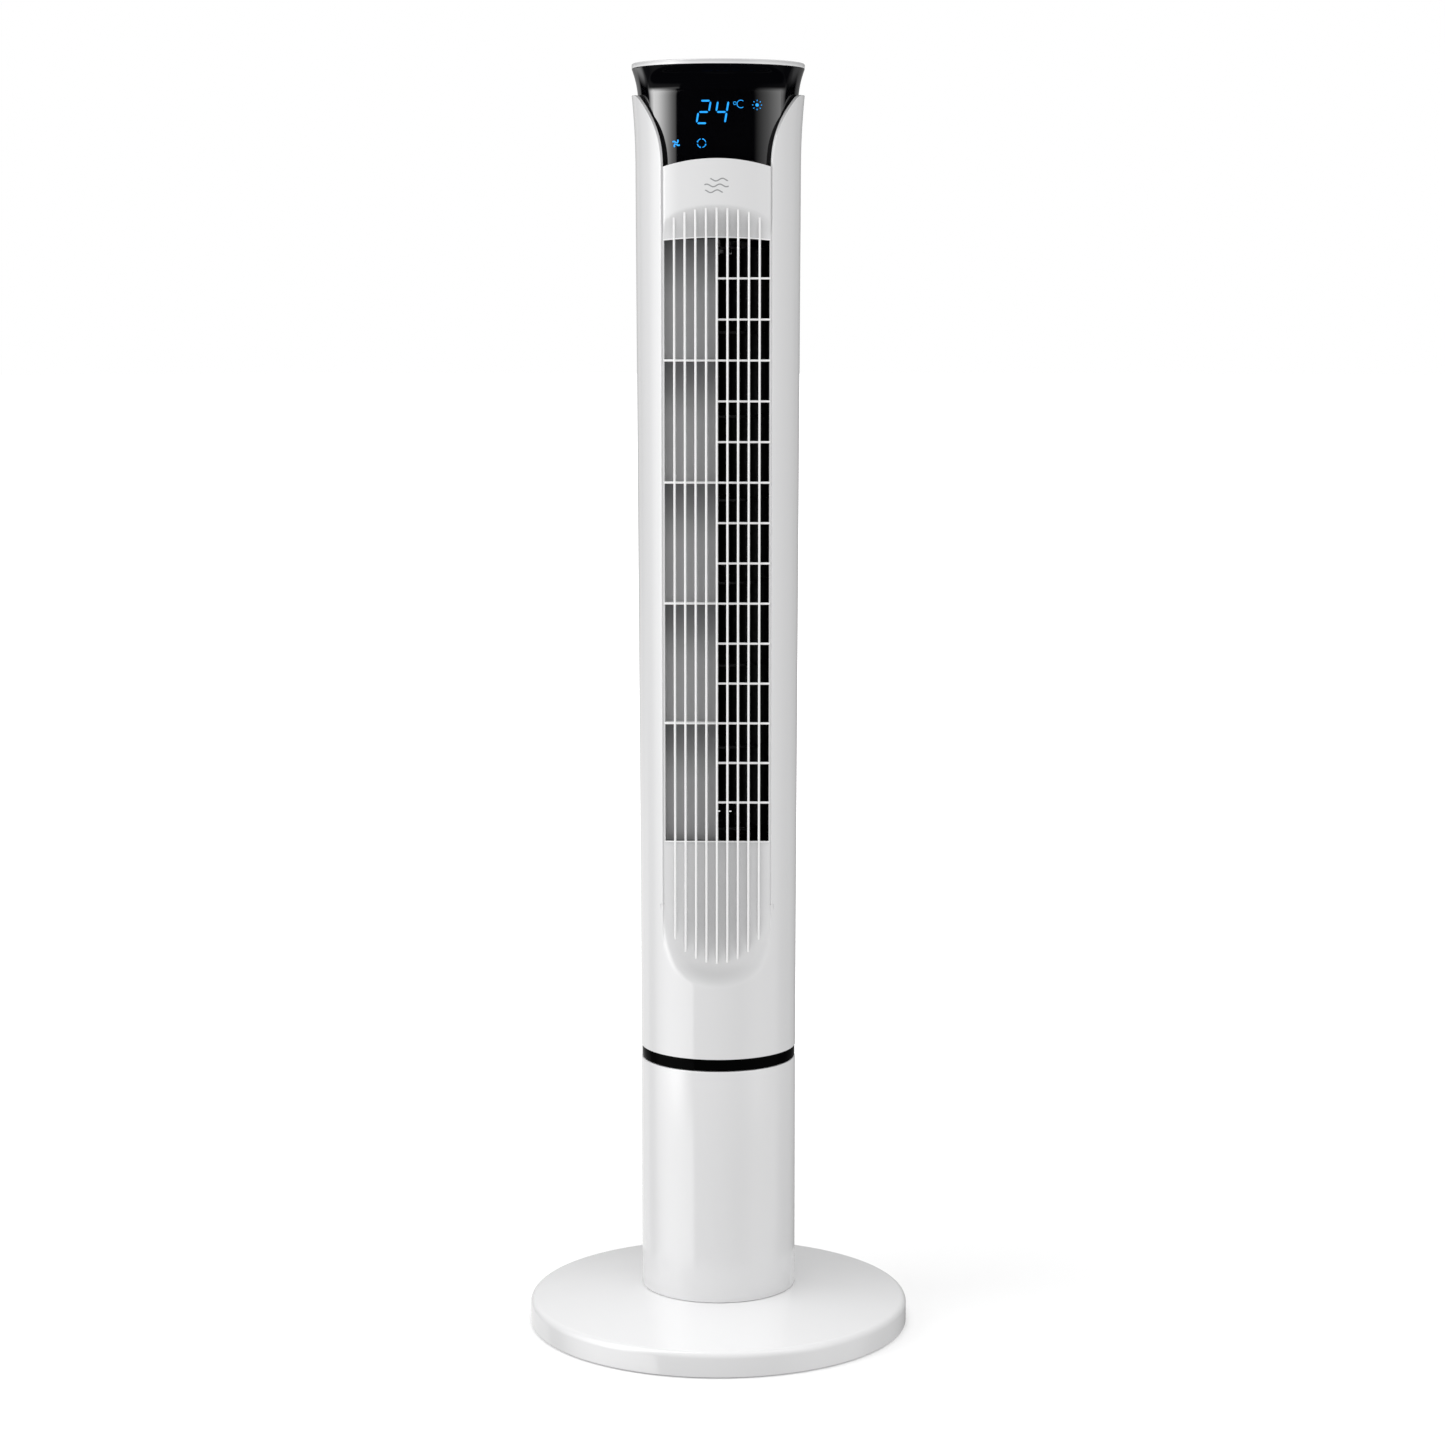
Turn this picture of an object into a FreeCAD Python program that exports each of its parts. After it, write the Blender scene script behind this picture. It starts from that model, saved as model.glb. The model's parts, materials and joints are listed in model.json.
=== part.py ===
"""Tower fan on a round base: a pedestal, an oscillating tower with a cross-flow blower, and a display head.

Millimetres, +Z up. The origin is on the floor under the middle of the base, and the air leaves towards -Y.
Every function named make_* returns one sub-part, and main() writes each to parts/NAME.step.
"""
import FreeCAD
import Part

import math
import os

from FreeCAD import Placement, Rotation, Vector

# ---- driving dimensions -------------------------------------------------------------------------------
CLEAR = 0.3                     # gap between neighbouring mouldings

BASE_RADIUS = 154.0
BASE_RIM_BOTTOM_Z = 0.8         # the rim hangs this far above the floor
BASE_UNDERSIDE_Z = 2.0          # the bottom plate is higher, and stands on the feet
BASE_RIM_TOP_Z = 21.0
BASE_CROWN_Z = 31.5             # the column stands on the crown
BASE_WALL = 2.5
BASE_EDGE_RADIUS = 4.0
FOOT_COUNT = 6
FOOT_START_DEG = 15.0           # leaves the back free for the cord
SCREW_START_DEG = 45.0
FOOT_CIRCLE_RADIUS = 140.0
FOOT_RADIUS = 9.0

COLUMN_RADIUS = 62.4
COLUMN_TOP_Z = 221.5
COLUMN_SCREW_CIRCLE = 53.5
WALL = 2.5                      # wall of the column and of the tower casing

CABLE_RADIUS = 3.6              # bore of the gland, for a 7 mm mains cord
GLAND_RADIUS = 5.5
GLAND_Z = 9.6

RING_HEIGHT = 9.5
RING_BOTTOM_Z = COLUMN_TOP_Z + 0.5
CASING_BOTTOM_Z = RING_BOTTOM_Z + RING_HEIGHT
SHOULDER_Z = 935.0              # the casing tapers gently up to here, then flares to its tips
SHOULDER_RADIUS = 65.0
TIP_Z = 989.3
TIP_RADIUS = 67.8
SEAM_Y = 8.0                    # front and rear casings meet on this plane

FACE_HALF_WIDTH = 43.0          # front face insert, from seam to seam
FACE_RADIUS = 97.0              # the insert is flatter than the casing round it
FACE_STEP = 0.8                 # it lies this far behind the casing's edges
SEAM_GAP = 0.4                  # on each side of each seam line
FACE_WALL = 2.2
SCOOP_FLAT_Z = 354.0            # below here the recess ramps outwards
SCOOP_RADIUS = 124.0
BROW_RADIUS = 27.0              # ramp above the outlet
BROW_START = 2.3                # the ramp starts this far above the outlet
OUTLET_BOTTOM_Z = 404.5
OUTLET_TOP_Z = 879.2
OUTLET_ARCH = 2.2               # rise of the outlet's top edge at its middle
OUTLET_HALF_WIDTH = 41.0
FACE_TOP_Z = 932.8
FACE_TOP_ARCH = 6.4

RIB_COUNT = 9
RIB_PITCH = 8.3
RIB_THICKNESS = 1.6
RIB_SINK = 1.0                  # rib fronts lie this far behind the face
BAR_COUNT = 14
BAR_HEIGHT = 1.6
BARS_PER_FIN = 3                # every third bar is a deep fin that spans the outlet
FIN_DEPTH = 9.5

AXIS_Y = 12.0                   # blower and motor axis, behind the tower's middle
IMPELLER_RADIUS = 40.0
IMPELLER_INNER_RADIUS = 31.5
IMPELLER_BOTTOM_Z = 411.0
IMPELLER_TOP_Z = 872.0
IMPELLER_SECTIONS = 7
BLADE_COUNT = 26
SHAFT_RADIUS = 4.0
RUNNING_CLEARANCE = 0.05

PLATE_THICKNESS = 4.0
MOTOR_PLATE_Z = 393.0
MOTOR_RADIUS = 36.0
MOTOR_TOP_Z = MOTOR_PLATE_Z - 4.0
MOTOR_BOTTOM_Z = MOTOR_TOP_Z - 60.0
MOTOR_MIDDLE_Z = MOTOR_TOP_Z - 30.0
SHAFT_TOP_Z = IMPELLER_BOTTOM_Z - 1.0
TOP_BRACKET_Z = 878.0

SWIVEL_Z = COLUMN_TOP_Z - 7.0   # underside of the fixed plate in the column's mouth
POST_RADIUS = 14.0              # hollow post that the tower swivels on
POST_BORE_RADIUS = 9.0
POST_TOP_Z = SWIVEL_Z + 29.0
TURNTABLE_Z = SWIVEL_Z + 6.5
TURNTABLE_TOP_Z = TURNTABLE_Z + 8.0
TURNTABLE_RADIUS = 57.9
CLIP_Z = TURNTABLE_TOP_Z + 0.35
GEAR_MODULE = 1.0
SUN_TEETH = 60
PINION_TEETH = 15
GEAR_Z = TURNTABLE_TOP_Z + 3.5
GEAR_HEIGHT = 6.0
GEAR_BACKLASH = 0.16            # taken off each tooth's thickness
GEAR_CENTRES = GEAR_MODULE * (SUN_TEETH + PINION_TEETH) / 2 + 0.05
SWING_MOTOR_Z = GEAR_Z + 9.7
FLOOR_TAB_TOP_Z = TURNTABLE_TOP_Z + 8.1

HEAD_BOTTOM_Z = 926.0
HEAD_BOTTOM_RADIUS = 61.7
HEAD_NECK_Z = 985.0             # where the flare of the rim begins
HEAD_NECK_RADIUS = 62.8
RIM_Z = 1009.9
RIM_RADIUS = 67.8
HEAD_WALL = 2.4
HEAD_FLOOR = 2.0
LENS_RADIUS = 100.0             # the display face is flatter than the head
LENS_FRONT_Y = -50.5
LENS_HALF_WIDTH = 50.0
LENS_THICKNESS = 1.6
LENS_TOP_Z = 991.0
VISOR_REACH = 17.5              # the display face curves this far out under the rim
VISOR_END_Z = 1008.6

CAP_EDGE_Z = 1013.8
CAP_TOP_Z = 1014.3
CAP_WALL = 2.0
BOARD_Z = 997.0                 # control board under the lid
BOARD_THICKNESS = 1.6
BUTTON_NAMES = ("timer_button", "speed_button", "power_button", "mode_button", "swing_button")
BUTTON_RADIUS = 6.5
BUTTON_CIRCLE = 42.0
BUTTON_STEP_DEG = 25.0
BUTTON_TOP_Z = 1014.2
BUTTON_FLANGE_Z = 1009.3

HANDLE_HALF_WIDTH = 45.0
REAR_SPLIT_Z = 878.0            # the rear wall is in two parts, and the upper one holds the handle
HANDLE_BOTTOM_Z = 884.0
HANDLE_TOP_Z = 922.0
HANDLE_DEPTH_Y = 38.0
HANDLE_WALL = 2.0

INTAKE_HALF_ANGLE = 47.0        # rear intake, either side of straight back
INTAKE_BOTTOM_Z = 412.0
INTAKE_TOP_Z = 868.0
SLOT_COLUMNS = 13
SLOT_ROWS = 6
SLOT_WIDTH = 3.8
SLOT_STEP_DEG = 6.5
SCREEN_THICKNESS = 0.7

SCREW_X = 53.5                  # casing screws
SCREW_LEVELS = (268.0, 470.0, 668.0, 900.0)
FLOOR_SCREWS = ((-48.0, -17.5), (48.0, -17.5), (-48.0, 17.5), (48.0, 17.5))
HEAD_SCREWS = ((-47.0, -23.0), (47.0, -23.0), (-47.0, 23.0), (47.0, 23.0))
FAR = 400.0                     # larger than any cross-section


# ---- small tools --------------------------------------------------------------------------------------
def cylinder(radius, z0, z1, x=0.0, y=0.0):
    return Part.makeCylinder(radius, z1 - z0, Vector(x, y, z0))


def tube(outer, inner, z0, z1, x=0.0, y=0.0):
    return cylinder(outer, z0, z1, x, y).cut(cylinder(inner, z0 - 1, z1 + 1, x, y))


def block(x0, x1, y0, y1, z0, z1):
    return Part.makeBox(x1 - x0, y1 - y0, z1 - z0, Vector(x0, y0, z0))


def rod_y(radius, y0, y1, x, z):
    """A round bar along Y."""
    return Part.makeCylinder(radius, y1 - y0, Vector(x, y0, z), Vector(0, 1, 0))


def fuse(shapes):
    shapes = list(shapes)
    return shapes[0].multiFuse(shapes[1:]).removeSplitter() if len(shapes) > 1 else shapes[0]


def on_circle(radius, count, start_deg=0.0):
    """count points (x, y), evenly spaced on a circle about the origin."""
    step = 2 * math.pi / count
    start = math.radians(start_deg)
    return [(radius * math.cos(start + i * step), radius * math.sin(start + i * step)) for i in range(count)]


def line(a, b):
    return Part.LineSegment(a, b).toShape()


def face_of(edges):
    return Part.Face(Part.Wire(edges))


def tangent_arc(start, direction, end):
    """The arc that leaves start along direction and reaches end. All three are vectors."""
    d = Vector(direction).normalize()
    chord = end - start
    normal = chord - d * chord.dot(d)
    normal.normalize()
    radius = chord.dot(chord) / (2 * chord.dot(normal))
    centre = start + normal * radius
    middle = (start + end) * 0.5 - centre
    middle.normalize()
    return Part.Arc(start, centre + middle * radius, end).toShape()


def lathe(edges, x=0.0, y=0.0):
    """Solid of revolution about a vertical axis, from a closed XZ profile that is drawn about x = 0."""
    solid = face_of(edges).revolve(Vector(0, 0, 0), Vector(0, 0, 1), 360)
    solid.translate(Vector(x, y, 0))
    return Part.Solid(solid) if solid.ShapeType == "Shell" else solid


def profile(points):
    """Closed XZ polygon of (radius, z) points, as edges."""
    vectors = [Vector(r, 0, z) for r, z in points]
    return [line(a, b) for a, b in zip(vectors, vectors[1:] + vectors[:1])]


# ---- the tower's envelope -----------------------------------------------------------------------------
TAPER = (SHOULDER_RADIUS - COLUMN_RADIUS) / (SHOULDER_Z - CASING_BOTTOM_Z)


def casing_radius(z):
    """Outer radius of the casing's straight part."""
    return COLUMN_RADIUS + TAPER * (z - CASING_BOTTOM_Z)


def envelope(inset, top_z=TIP_Z):
    """The casing's outer shape as a filled solid, shrunk by inset."""
    low = Vector(COLUMN_RADIUS - inset, 0, CASING_BOTTOM_Z)
    shoulder = Vector(SHOULDER_RADIUS - inset, 0, SHOULDER_Z)
    tip = Vector(TIP_RADIUS - inset, 0, TIP_Z)
    axis_low, axis_high = Vector(0, 0, CASING_BOTTOM_Z), Vector(0, 0, TIP_Z)
    flare = tangent_arc(shoulder, Vector(TAPER, 0, 1), tip)
    solid = lathe([line(axis_low, low), line(low, shoulder), flare, line(tip, axis_high),
                   line(axis_high, axis_low)])
    if top_z < TIP_Z:
        solid = solid.common(cylinder(FAR, CASING_BOTTOM_Z - 1, top_z))
    return solid


# ---- the front face's own frame -----------------------------------------------------------------------
# Depths are measured from the outlet's plane, negative outwards. The plane leans with the casing's taper.
def seam_depth(z):
    return math.sqrt(casing_radius(z) ** 2 - FACE_HALF_WIDTH ** 2) - FACE_STEP


FACE_LEAN_DEG = math.degrees(math.atan((seam_depth(SHOULDER_Z) - seam_depth(SCOOP_FLAT_Z))
                                       / (SHOULDER_Z - SCOOP_FLAT_Z)))
FACE_AXIS_DEPTH = math.sqrt(FACE_RADIUS ** 2 - FACE_HALF_WIDTH ** 2)


def to_tower(shape):
    """Moves a shape from the face's frame into the tower."""
    lean = Rotation(Vector(1, 0, 0), FACE_LEAN_DEG)
    pivot = Vector(0, 0, SCOOP_FLAT_Z)
    place = Placement(Vector(0, -seam_depth(SCOOP_FLAT_Z), 0), lean, pivot)
    shape.Placement = place.multiply(shape.Placement)
    return shape


def recess(offset, x0, x1):
    """The air in front of the recessed outlet plane and its two ramps, moved back by offset."""
    reach, brow_z = -30.0, OUTLET_TOP_Z + BROW_START
    low_radius, high_radius = SCOOP_RADIUS + offset, BROW_RADIUS + offset
    low_angle = math.acos((SCOOP_RADIUS - 24) / low_radius)
    high_angle = math.acos((BROW_RADIUS - 20) / high_radius)
    low_end = Vector(0, -SCOOP_RADIUS + low_radius * math.cos(low_angle),
                     SCOOP_FLAT_Z - low_radius * math.sin(low_angle))
    high_end = Vector(0, -BROW_RADIUS + high_radius * math.cos(high_angle),
                      brow_z + high_radius * math.sin(high_angle))
    low_start, high_start = Vector(0, offset, SCOOP_FLAT_Z), Vector(0, offset, brow_z)
    front_low, front_high = Vector(0, reach, low_end.z), Vector(0, reach, high_end.z)
    edges = [tangent_arc(low_start, Vector(0, 0, -1), low_end), line(low_end, front_low),
             line(front_low, front_high), line(front_high, high_end),
             tangent_arc(high_start, Vector(0, 0, 1), high_end), line(high_start, low_start)]
    solid = Part.Face(Part.Wire(Part.sortEdges(edges)[0])).extrude(Vector(x1 - x0, 0, 0))
    solid.translate(Vector(x0, 0, 0))
    return solid


def face_cylinder(sink):
    """Everything behind the gently curved face, moved back by sink."""
    return cylinder(FACE_RADIUS - sink, 200, 1000, 0, FACE_AXIS_DEPTH)


def insert_space(gap, back):
    """Where the face insert goes: between the seams, and in front of the ramp's back at its tail."""
    half = FACE_HALF_WIDTH + gap
    tail = to_tower(recess(back, -half, half)).common(block(-FAR, FAR, -FAR, FAR, 0, SCOOP_FLAT_Z))
    return fuse([tail, block(-half, half, -75, -30, SCOOP_FLAT_Z, 1000)])


def arch_prism(half_width, side_z, rise, z_low, y0, y1):
    """A prism along Y whose top edge is an arch over |x| < half_width."""
    a, b = Vector(-half_width, y0, z_low), Vector(half_width, y0, z_low)
    c, d = Vector(half_width, y0, side_z), Vector(-half_width, y0, side_z)
    arch = Part.Arc(c, Vector(0, y0, side_z + rise), d).toShape()
    return face_of([line(a, b), line(b, c), arch, line(d, a)]).extrude(Vector(0, y1 - y0, 0))


# ---- base ---------------------------------------------------------------------------------------------
def base_profile(inset):
    """Outline of the base from its axis to its rim, as open edges, shrunk by inset."""
    rim = BASE_RADIUS - inset
    crown_z, rim_top_z = BASE_CROWN_Z - inset, BASE_RIM_TOP_Z - inset
    edge = max(BASE_EDGE_RADIUS - inset, 1.0)
    axis_top, crown = Vector(0, 0, crown_z), Vector(COLUMN_RADIUS + 2, 0, crown_z)
    slope_end, wall_top = Vector(rim - edge, 0, rim_top_z), Vector(rim, 0, rim_top_z - edge)
    wall_end = Vector(rim, 0, BASE_RIM_BOTTOM_Z if inset == 0 else BASE_RIM_BOTTOM_Z - 1)
    down = Vector(slope_end.x - crown.x, 0, slope_end.z - crown.z)
    return [line(axis_top, crown), line(crown, slope_end), tangent_arc(slope_end, down, wall_top),
            line(wall_top, wall_end), line(wall_end, Vector(0, 0, wall_end.z)),
            line(Vector(0, 0, wall_end.z), axis_top)]


def make_base_cover():
    inner = lathe(base_profile(BASE_WALL))
    shell = lathe(base_profile(0)).cut(inner)
    spigot = tube(46.4, 43.4, BASE_CROWN_Z - 1, BASE_CROWN_Z + 12)
    half_wall = lathe(base_profile(BASE_WALL / 2))
    bosses = [cylinder(4.2, 4.6, BASE_CROWN_Z, x, y).common(half_wall)
              for x, y in on_circle(FOOT_CIRCLE_RADIUS, FOOT_COUNT, SCREW_START_DEG)]
    cover = fuse([shell, spigot] + bosses)
    holes = [cylinder(1.6, 0, 14.0, x, y)
             for x, y in on_circle(FOOT_CIRCLE_RADIUS, FOOT_COUNT, SCREW_START_DEG)]
    holes += [cylinder(2.2, 20, 40, x, y) for x, y in on_circle(COLUMN_SCREW_CIRCLE, 4, 45)]
    holes.append(cylinder(POST_BORE_RADIUS, 20, 40))
    holes.append(rod_y(GLAND_RADIUS, 130, 160, 0, GLAND_Z))
    return cover.cut(Part.makeCompound(holes))


def make_cord_gland():
    """Bushing in the rim's back wall: a 7 mm cord passes through it."""
    body = rod_y(GLAND_RADIUS, 142.0, BASE_RADIUS - 0.3, 0, GLAND_Z)
    collar = rod_y(GLAND_RADIUS + 0.7, 142.0, BASE_RADIUS - BASE_WALL - 1.2, 0, GLAND_Z)
    return fuse([body, collar]).cut(rod_y(CABLE_RADIUS, 140, 160, 0, GLAND_Z))


def make_base_weight():
    plate = tube(134.0, 70.0, 4.8, 10.8)
    cable_notch = block(-9, 9, 60, 140, 4, 12)
    return plate.cut(cable_notch)


def make_base_bottom_plate():
    plate = cylinder(BASE_RADIUS - BASE_WALL - CLEAR, BASE_UNDERSIDE_Z, 4.4)
    holes = [cylinder(2.6, 0, 8, x, y)
             for x, y in on_circle(FOOT_CIRCLE_RADIUS, FOOT_COUNT, FOOT_START_DEG)]
    holes += [cylinder(2.0, 0, 8, x, y)
              for x, y in on_circle(FOOT_CIRCLE_RADIUS, FOOT_COUNT, SCREW_START_DEG)]
    holes.append(block(-7.2, 7.2, 141, 155, 0, 8))
    return plate.cut(Part.makeCompound(holes))


def make_rubber_feet():
    feet = []
    for x, y in on_circle(FOOT_CIRCLE_RADIUS, FOOT_COUNT, FOOT_START_DEG):
        pad = Part.makeCone(FOOT_RADIUS - 0.6, FOOT_RADIUS, BASE_UNDERSIDE_Z, Vector(x, y, 0))
        feet.append(fuse([pad, cylinder(2.5, 1.0, 7.0, x, y)]))
    return Part.makeCompound(feet)


def screw(x, y, seat_z, length, shank=1.5, head=3.0, up=True):
    """A pan-head screw with a cross slot, seated at seat_z, its shank pointing up or down."""
    sign = 1 if up else -1
    head_body = Part.makeCylinder(head, 1.6, Vector(x, y, seat_z), Vector(0, 0, -sign))
    body = fuse([head_body, Part.makeCylinder(shank, length, Vector(x, y, seat_z), Vector(0, 0, sign))])
    slot_z = seat_z - sign * 1.2
    slots = [Part.makeBox(3.4, 0.7, 2.0, Vector(x - 1.7, y - 0.35, slot_z - (2.0 if up else 0))),
             Part.makeBox(0.7, 3.4, 2.0, Vector(x - 0.35, y - 1.7, slot_z - (2.0 if up else 0)))]
    return body.cut(Part.makeCompound(slots))


def make_base_screws():
    return Part.makeCompound([screw(x, y, BASE_UNDERSIDE_Z, 10.0)
                              for x, y in on_circle(FOOT_CIRCLE_RADIUS, FOOT_COUNT, SCREW_START_DEG)])


# ---- column and swivel --------------------------------------------------------------------------------
def make_column_tube():
    inner_radius = COLUMN_RADIUS - WALL
    low_z = BASE_CROWN_Z + CLEAR
    wall = tube(COLUMN_RADIUS, inner_radius, low_z, COLUMN_TOP_Z)
    foot = tube(inner_radius + 1, 47.0, low_z, low_z + 4)
    shelf = tube(inner_radius + 1, 50.0, SWIVEL_Z - 4, SWIVEL_Z)
    foot_bosses = [cylinder(4.5, low_z + 3, low_z + 15, x, y)
                   for x, y in on_circle(COLUMN_SCREW_CIRCLE, 4, 45)]
    shelf_bosses = [cylinder(4.5, SWIVEL_Z - 13, SWIVEL_Z - 3, x, y)
                    for x, y in on_circle(COLUMN_SCREW_CIRCLE + 1.5, 4)]
    body = fuse([wall, foot, shelf] + foot_bosses + shelf_bosses)
    holes = [cylinder(1.6, low_z - 1, low_z + 13, x, y) for x, y in on_circle(COLUMN_SCREW_CIRCLE, 4, 45)]
    holes += [cylinder(1.6, SWIVEL_Z - 11, SWIVEL_Z + 1, x, y)
              for x, y in on_circle(COLUMN_SCREW_CIRCLE + 1.5, 4)]
    return body.cut(Part.makeCompound(holes))


def make_column_screws():
    return Part.makeCompound([screw(x, y, BASE_CROWN_Z - BASE_WALL, 14.0)
                              for x, y in on_circle(COLUMN_SCREW_CIRCLE, 4, 45)])


def make_swivel_plate():
    """Fixed plate in the column's mouth, with the hollow post that the tower turns on."""
    disc = cylinder(COLUMN_RADIUS - WALL - CLEAR, SWIVEL_Z, SWIVEL_Z + 4)
    post = cylinder(POST_RADIUS, SWIVEL_Z + 3, POST_TOP_Z)
    seat = tube(48.0, 18.0, SWIVEL_Z + 3.5, SWIVEL_Z + 5)
    body = fuse([disc, post, seat])
    groove = tube(POST_RADIUS + 1, POST_RADIUS - 1.4, CLIP_Z - 0.05, CLIP_Z + 1.35)
    bore = cylinder(POST_BORE_RADIUS, SWIVEL_Z - 1, POST_TOP_Z + 1)
    holes = [cylinder(2.0, SWIVEL_Z - 1, SWIVEL_Z + 5, x, y)
             for x, y in on_circle(COLUMN_SCREW_CIRCLE + 1.5, 4)]
    return body.cut(Part.makeCompound([groove, bore] + holes))


def make_swivel_screws():
    return Part.makeCompound([screw(x, y, SWIVEL_Z + 4, 12.0, up=False)
                              for x, y in on_circle(COLUMN_SCREW_CIRCLE + 1.5, 4)])


def make_thrust_washer():
    return tube(46.0, 20.0, SWIVEL_Z + 5, TURNTABLE_Z - 0.1)


def make_retaining_ring():
    """Open ring in the post's groove that keeps the turntable on the post."""
    ring = tube(19.0, POST_RADIUS - 1.4, CLIP_Z, CLIP_Z + 1.3)
    return ring.cut(block(-7, 7, 0, 30, CLIP_Z - 1, CLIP_Z + 3))


def gear_outline(teeth, phase, backlash):
    """Closed wire of an involute spur gear about the origin, a tooth centred on the angle phase."""
    pressure = math.radians(20)
    pitch = GEAR_MODULE * teeth / 2
    base = pitch * math.cos(pressure)
    tip = pitch + GEAR_MODULE
    root = pitch - 1.25 * GEAR_MODULE
    half_tooth = (math.pi * GEAR_MODULE / 2 - backlash) / (2 * pitch) + math.tan(pressure) - pressure
    start = max(base, root + 0.05)

    def flank(radius):
        roll = math.acos(min(1.0, base / radius))
        return half_tooth - (math.tan(roll) - roll)

    def at(radius, angle):
        return Vector(radius * math.cos(angle), radius * math.sin(angle), 0)

    radii = [start + (tip - start) * i / 5 for i in range(6)]
    edges, previous = [], None
    for i in range(teeth):
        middle = phase + 2 * math.pi * i / teeth
        rising = [at(r, middle - flank(r)) for r in radii]
        falling = [at(r, middle + flank(r)) for r in reversed(radii)]
        root_in, root_out = at(root, middle - flank(start)), at(root, middle + flank(start))
        if previous is not None:
            edges.append(line(previous, root_in))
        else:
            first = root_in
        chain = [root_in] + rising + falling + [root_out]
        edges += [line(a, b) for a, b in zip(chain, chain[1:])]
        previous = root_out
    edges.append(line(previous, first))
    return Part.Wire(edges)


def gear(teeth, phase, x, y, z0, z1, backlash=GEAR_BACKLASH):
    solid = Part.Face(gear_outline(teeth, phase, backlash)).extrude(Vector(0, 0, z1 - z0))
    solid.translate(Vector(x, y, z0))
    return solid


def make_sun_gear():
    """Fixed on the post: a tooth points at the pinion, straight back."""
    body = gear(SUN_TEETH, math.pi / 2, 0, 0, GEAR_Z, GEAR_Z + GEAR_HEIGHT)
    low, high = GEAR_Z - 1, GEAR_Z + GEAR_HEIGHT + 1
    lightening = [cylinder(3.5, low, high, x, y) for x, y in on_circle(21.5, 6, 30)]
    return body.cut(Part.makeCompound([cylinder(POST_RADIUS, low, high)] + lightening))


def make_swing_pinion():
    """On the gearmotor's shaft: a tooth gap points at the sun gear, straight forward."""
    gap_phase = -math.pi / 2 + math.pi / PINION_TEETH
    body = gear(PINION_TEETH, gap_phase, 0, GEAR_CENTRES, GEAR_Z - 0.5, GEAR_Z + GEAR_HEIGHT + 0.5)
    shaft = cylinder(2.5, GEAR_Z - 2, SWING_MOTOR_Z + 3.3, 0, GEAR_CENTRES)
    return fuse([body, shaft])


def make_turntable():
    """The tower's floor: turns on the post, and carries the swing motor's legs and the board guides."""
    top = TURNTABLE_TOP_Z
    disc = cylinder(TURNTABLE_RADIUS, TURNTABLE_Z, top)
    legs = [cylinder(3.6, top - 1, SWING_MOTOR_Z - 0.2, x, GEAR_CENTRES) for x in (-21.5, 21.5)]
    guides = [block(x0, x0 + 4, -36, -28, top - 1, top + 20) for x0 in (-44, 40)]
    bosses = [cylinder(4.5, top - 1, top + 5.5, x, y) for x, y in FLOOR_SCREWS]
    body = fuse([disc] + legs + guides + bosses)
    holes = [cylinder(POST_RADIUS + RUNNING_CLEARANCE, TURNTABLE_Z - 1, top + 30),
             cylinder(19.6, top - 0.5, top + 30)]
    holes += [cylinder(1.1, top + 4, top + 30, x, GEAR_CENTRES) for x in (-21.5, 21.5)]
    holes += [cylinder(1.5, top - 5, top + 30, x, y) for x, y in FLOOR_SCREWS]
    holes += [block(x0, x0 + 2.5, -33.2, -30.8, top + 2, top + 30) for x0 in (-42.5, 40)]
    return body.cut(Part.makeCompound(holes))


def make_floor_screws():
    """They hold both casing halves down on the turntable's bosses."""
    return Part.makeCompound([screw(x, y, FLOOR_TAB_TOP_Z, 10.0, shank=1.45, head=2.8, up=False)
                              for x, y in FLOOR_SCREWS])


def make_ring_trim():
    """Gloss black band between the column and the tower."""
    outer = COLUMN_RADIUS - 0.5
    points = [(TURNTABLE_RADIUS + 0.1, RING_BOTTOM_Z + 0.2), (outer - 0.6, RING_BOTTOM_Z + 0.2),
              (outer, RING_BOTTOM_Z + 0.8), (outer, CASING_BOTTOM_Z - 0.6),
              (outer - 0.6, CASING_BOTTOM_Z), (TURNTABLE_RADIUS + 0.1, CASING_BOTTOM_Z)]
    return lathe(profile(points))


def make_swing_motor():
    """Small geared motor, standing on the turntable's legs."""
    low = SWING_MOTOR_Z
    can = cylinder(17.5, low + 1.3, low + 19.3, 0, GEAR_CENTRES)
    ears = fuse([block(-25, 25, GEAR_CENTRES - 4, GEAR_CENTRES + 4, low, low + 1.5),
                 cylinder(8.0, low, low + 1.5, 0, GEAR_CENTRES)])
    plug = block(-8, 8, GEAR_CENTRES - 20.5, GEAR_CENTRES - 14, low + 5.3, low + 14.3)
    body = fuse([can, ears, plug])
    holes = [cylinder(1.8, low - 1, low + 3, x, GEAR_CENTRES) for x in (-21.5, 21.5)]
    return body.cut(Part.makeCompound(holes + [cylinder(2.56, low - 1, low + 4, 0, GEAR_CENTRES)]))


def make_swing_motor_screws():
    seat_z = SWING_MOTOR_Z + 1.5
    return Part.makeCompound([screw(x, GEAR_CENTRES, seat_z, 7.5, shank=1.05, head=2.8, up=False)
                              for x in (-21.5, 21.5)])


# ---- tower casing -------------------------------------------------------------------------------------
def shell():
    return envelope(0).cut(envelope(WALL))


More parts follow.
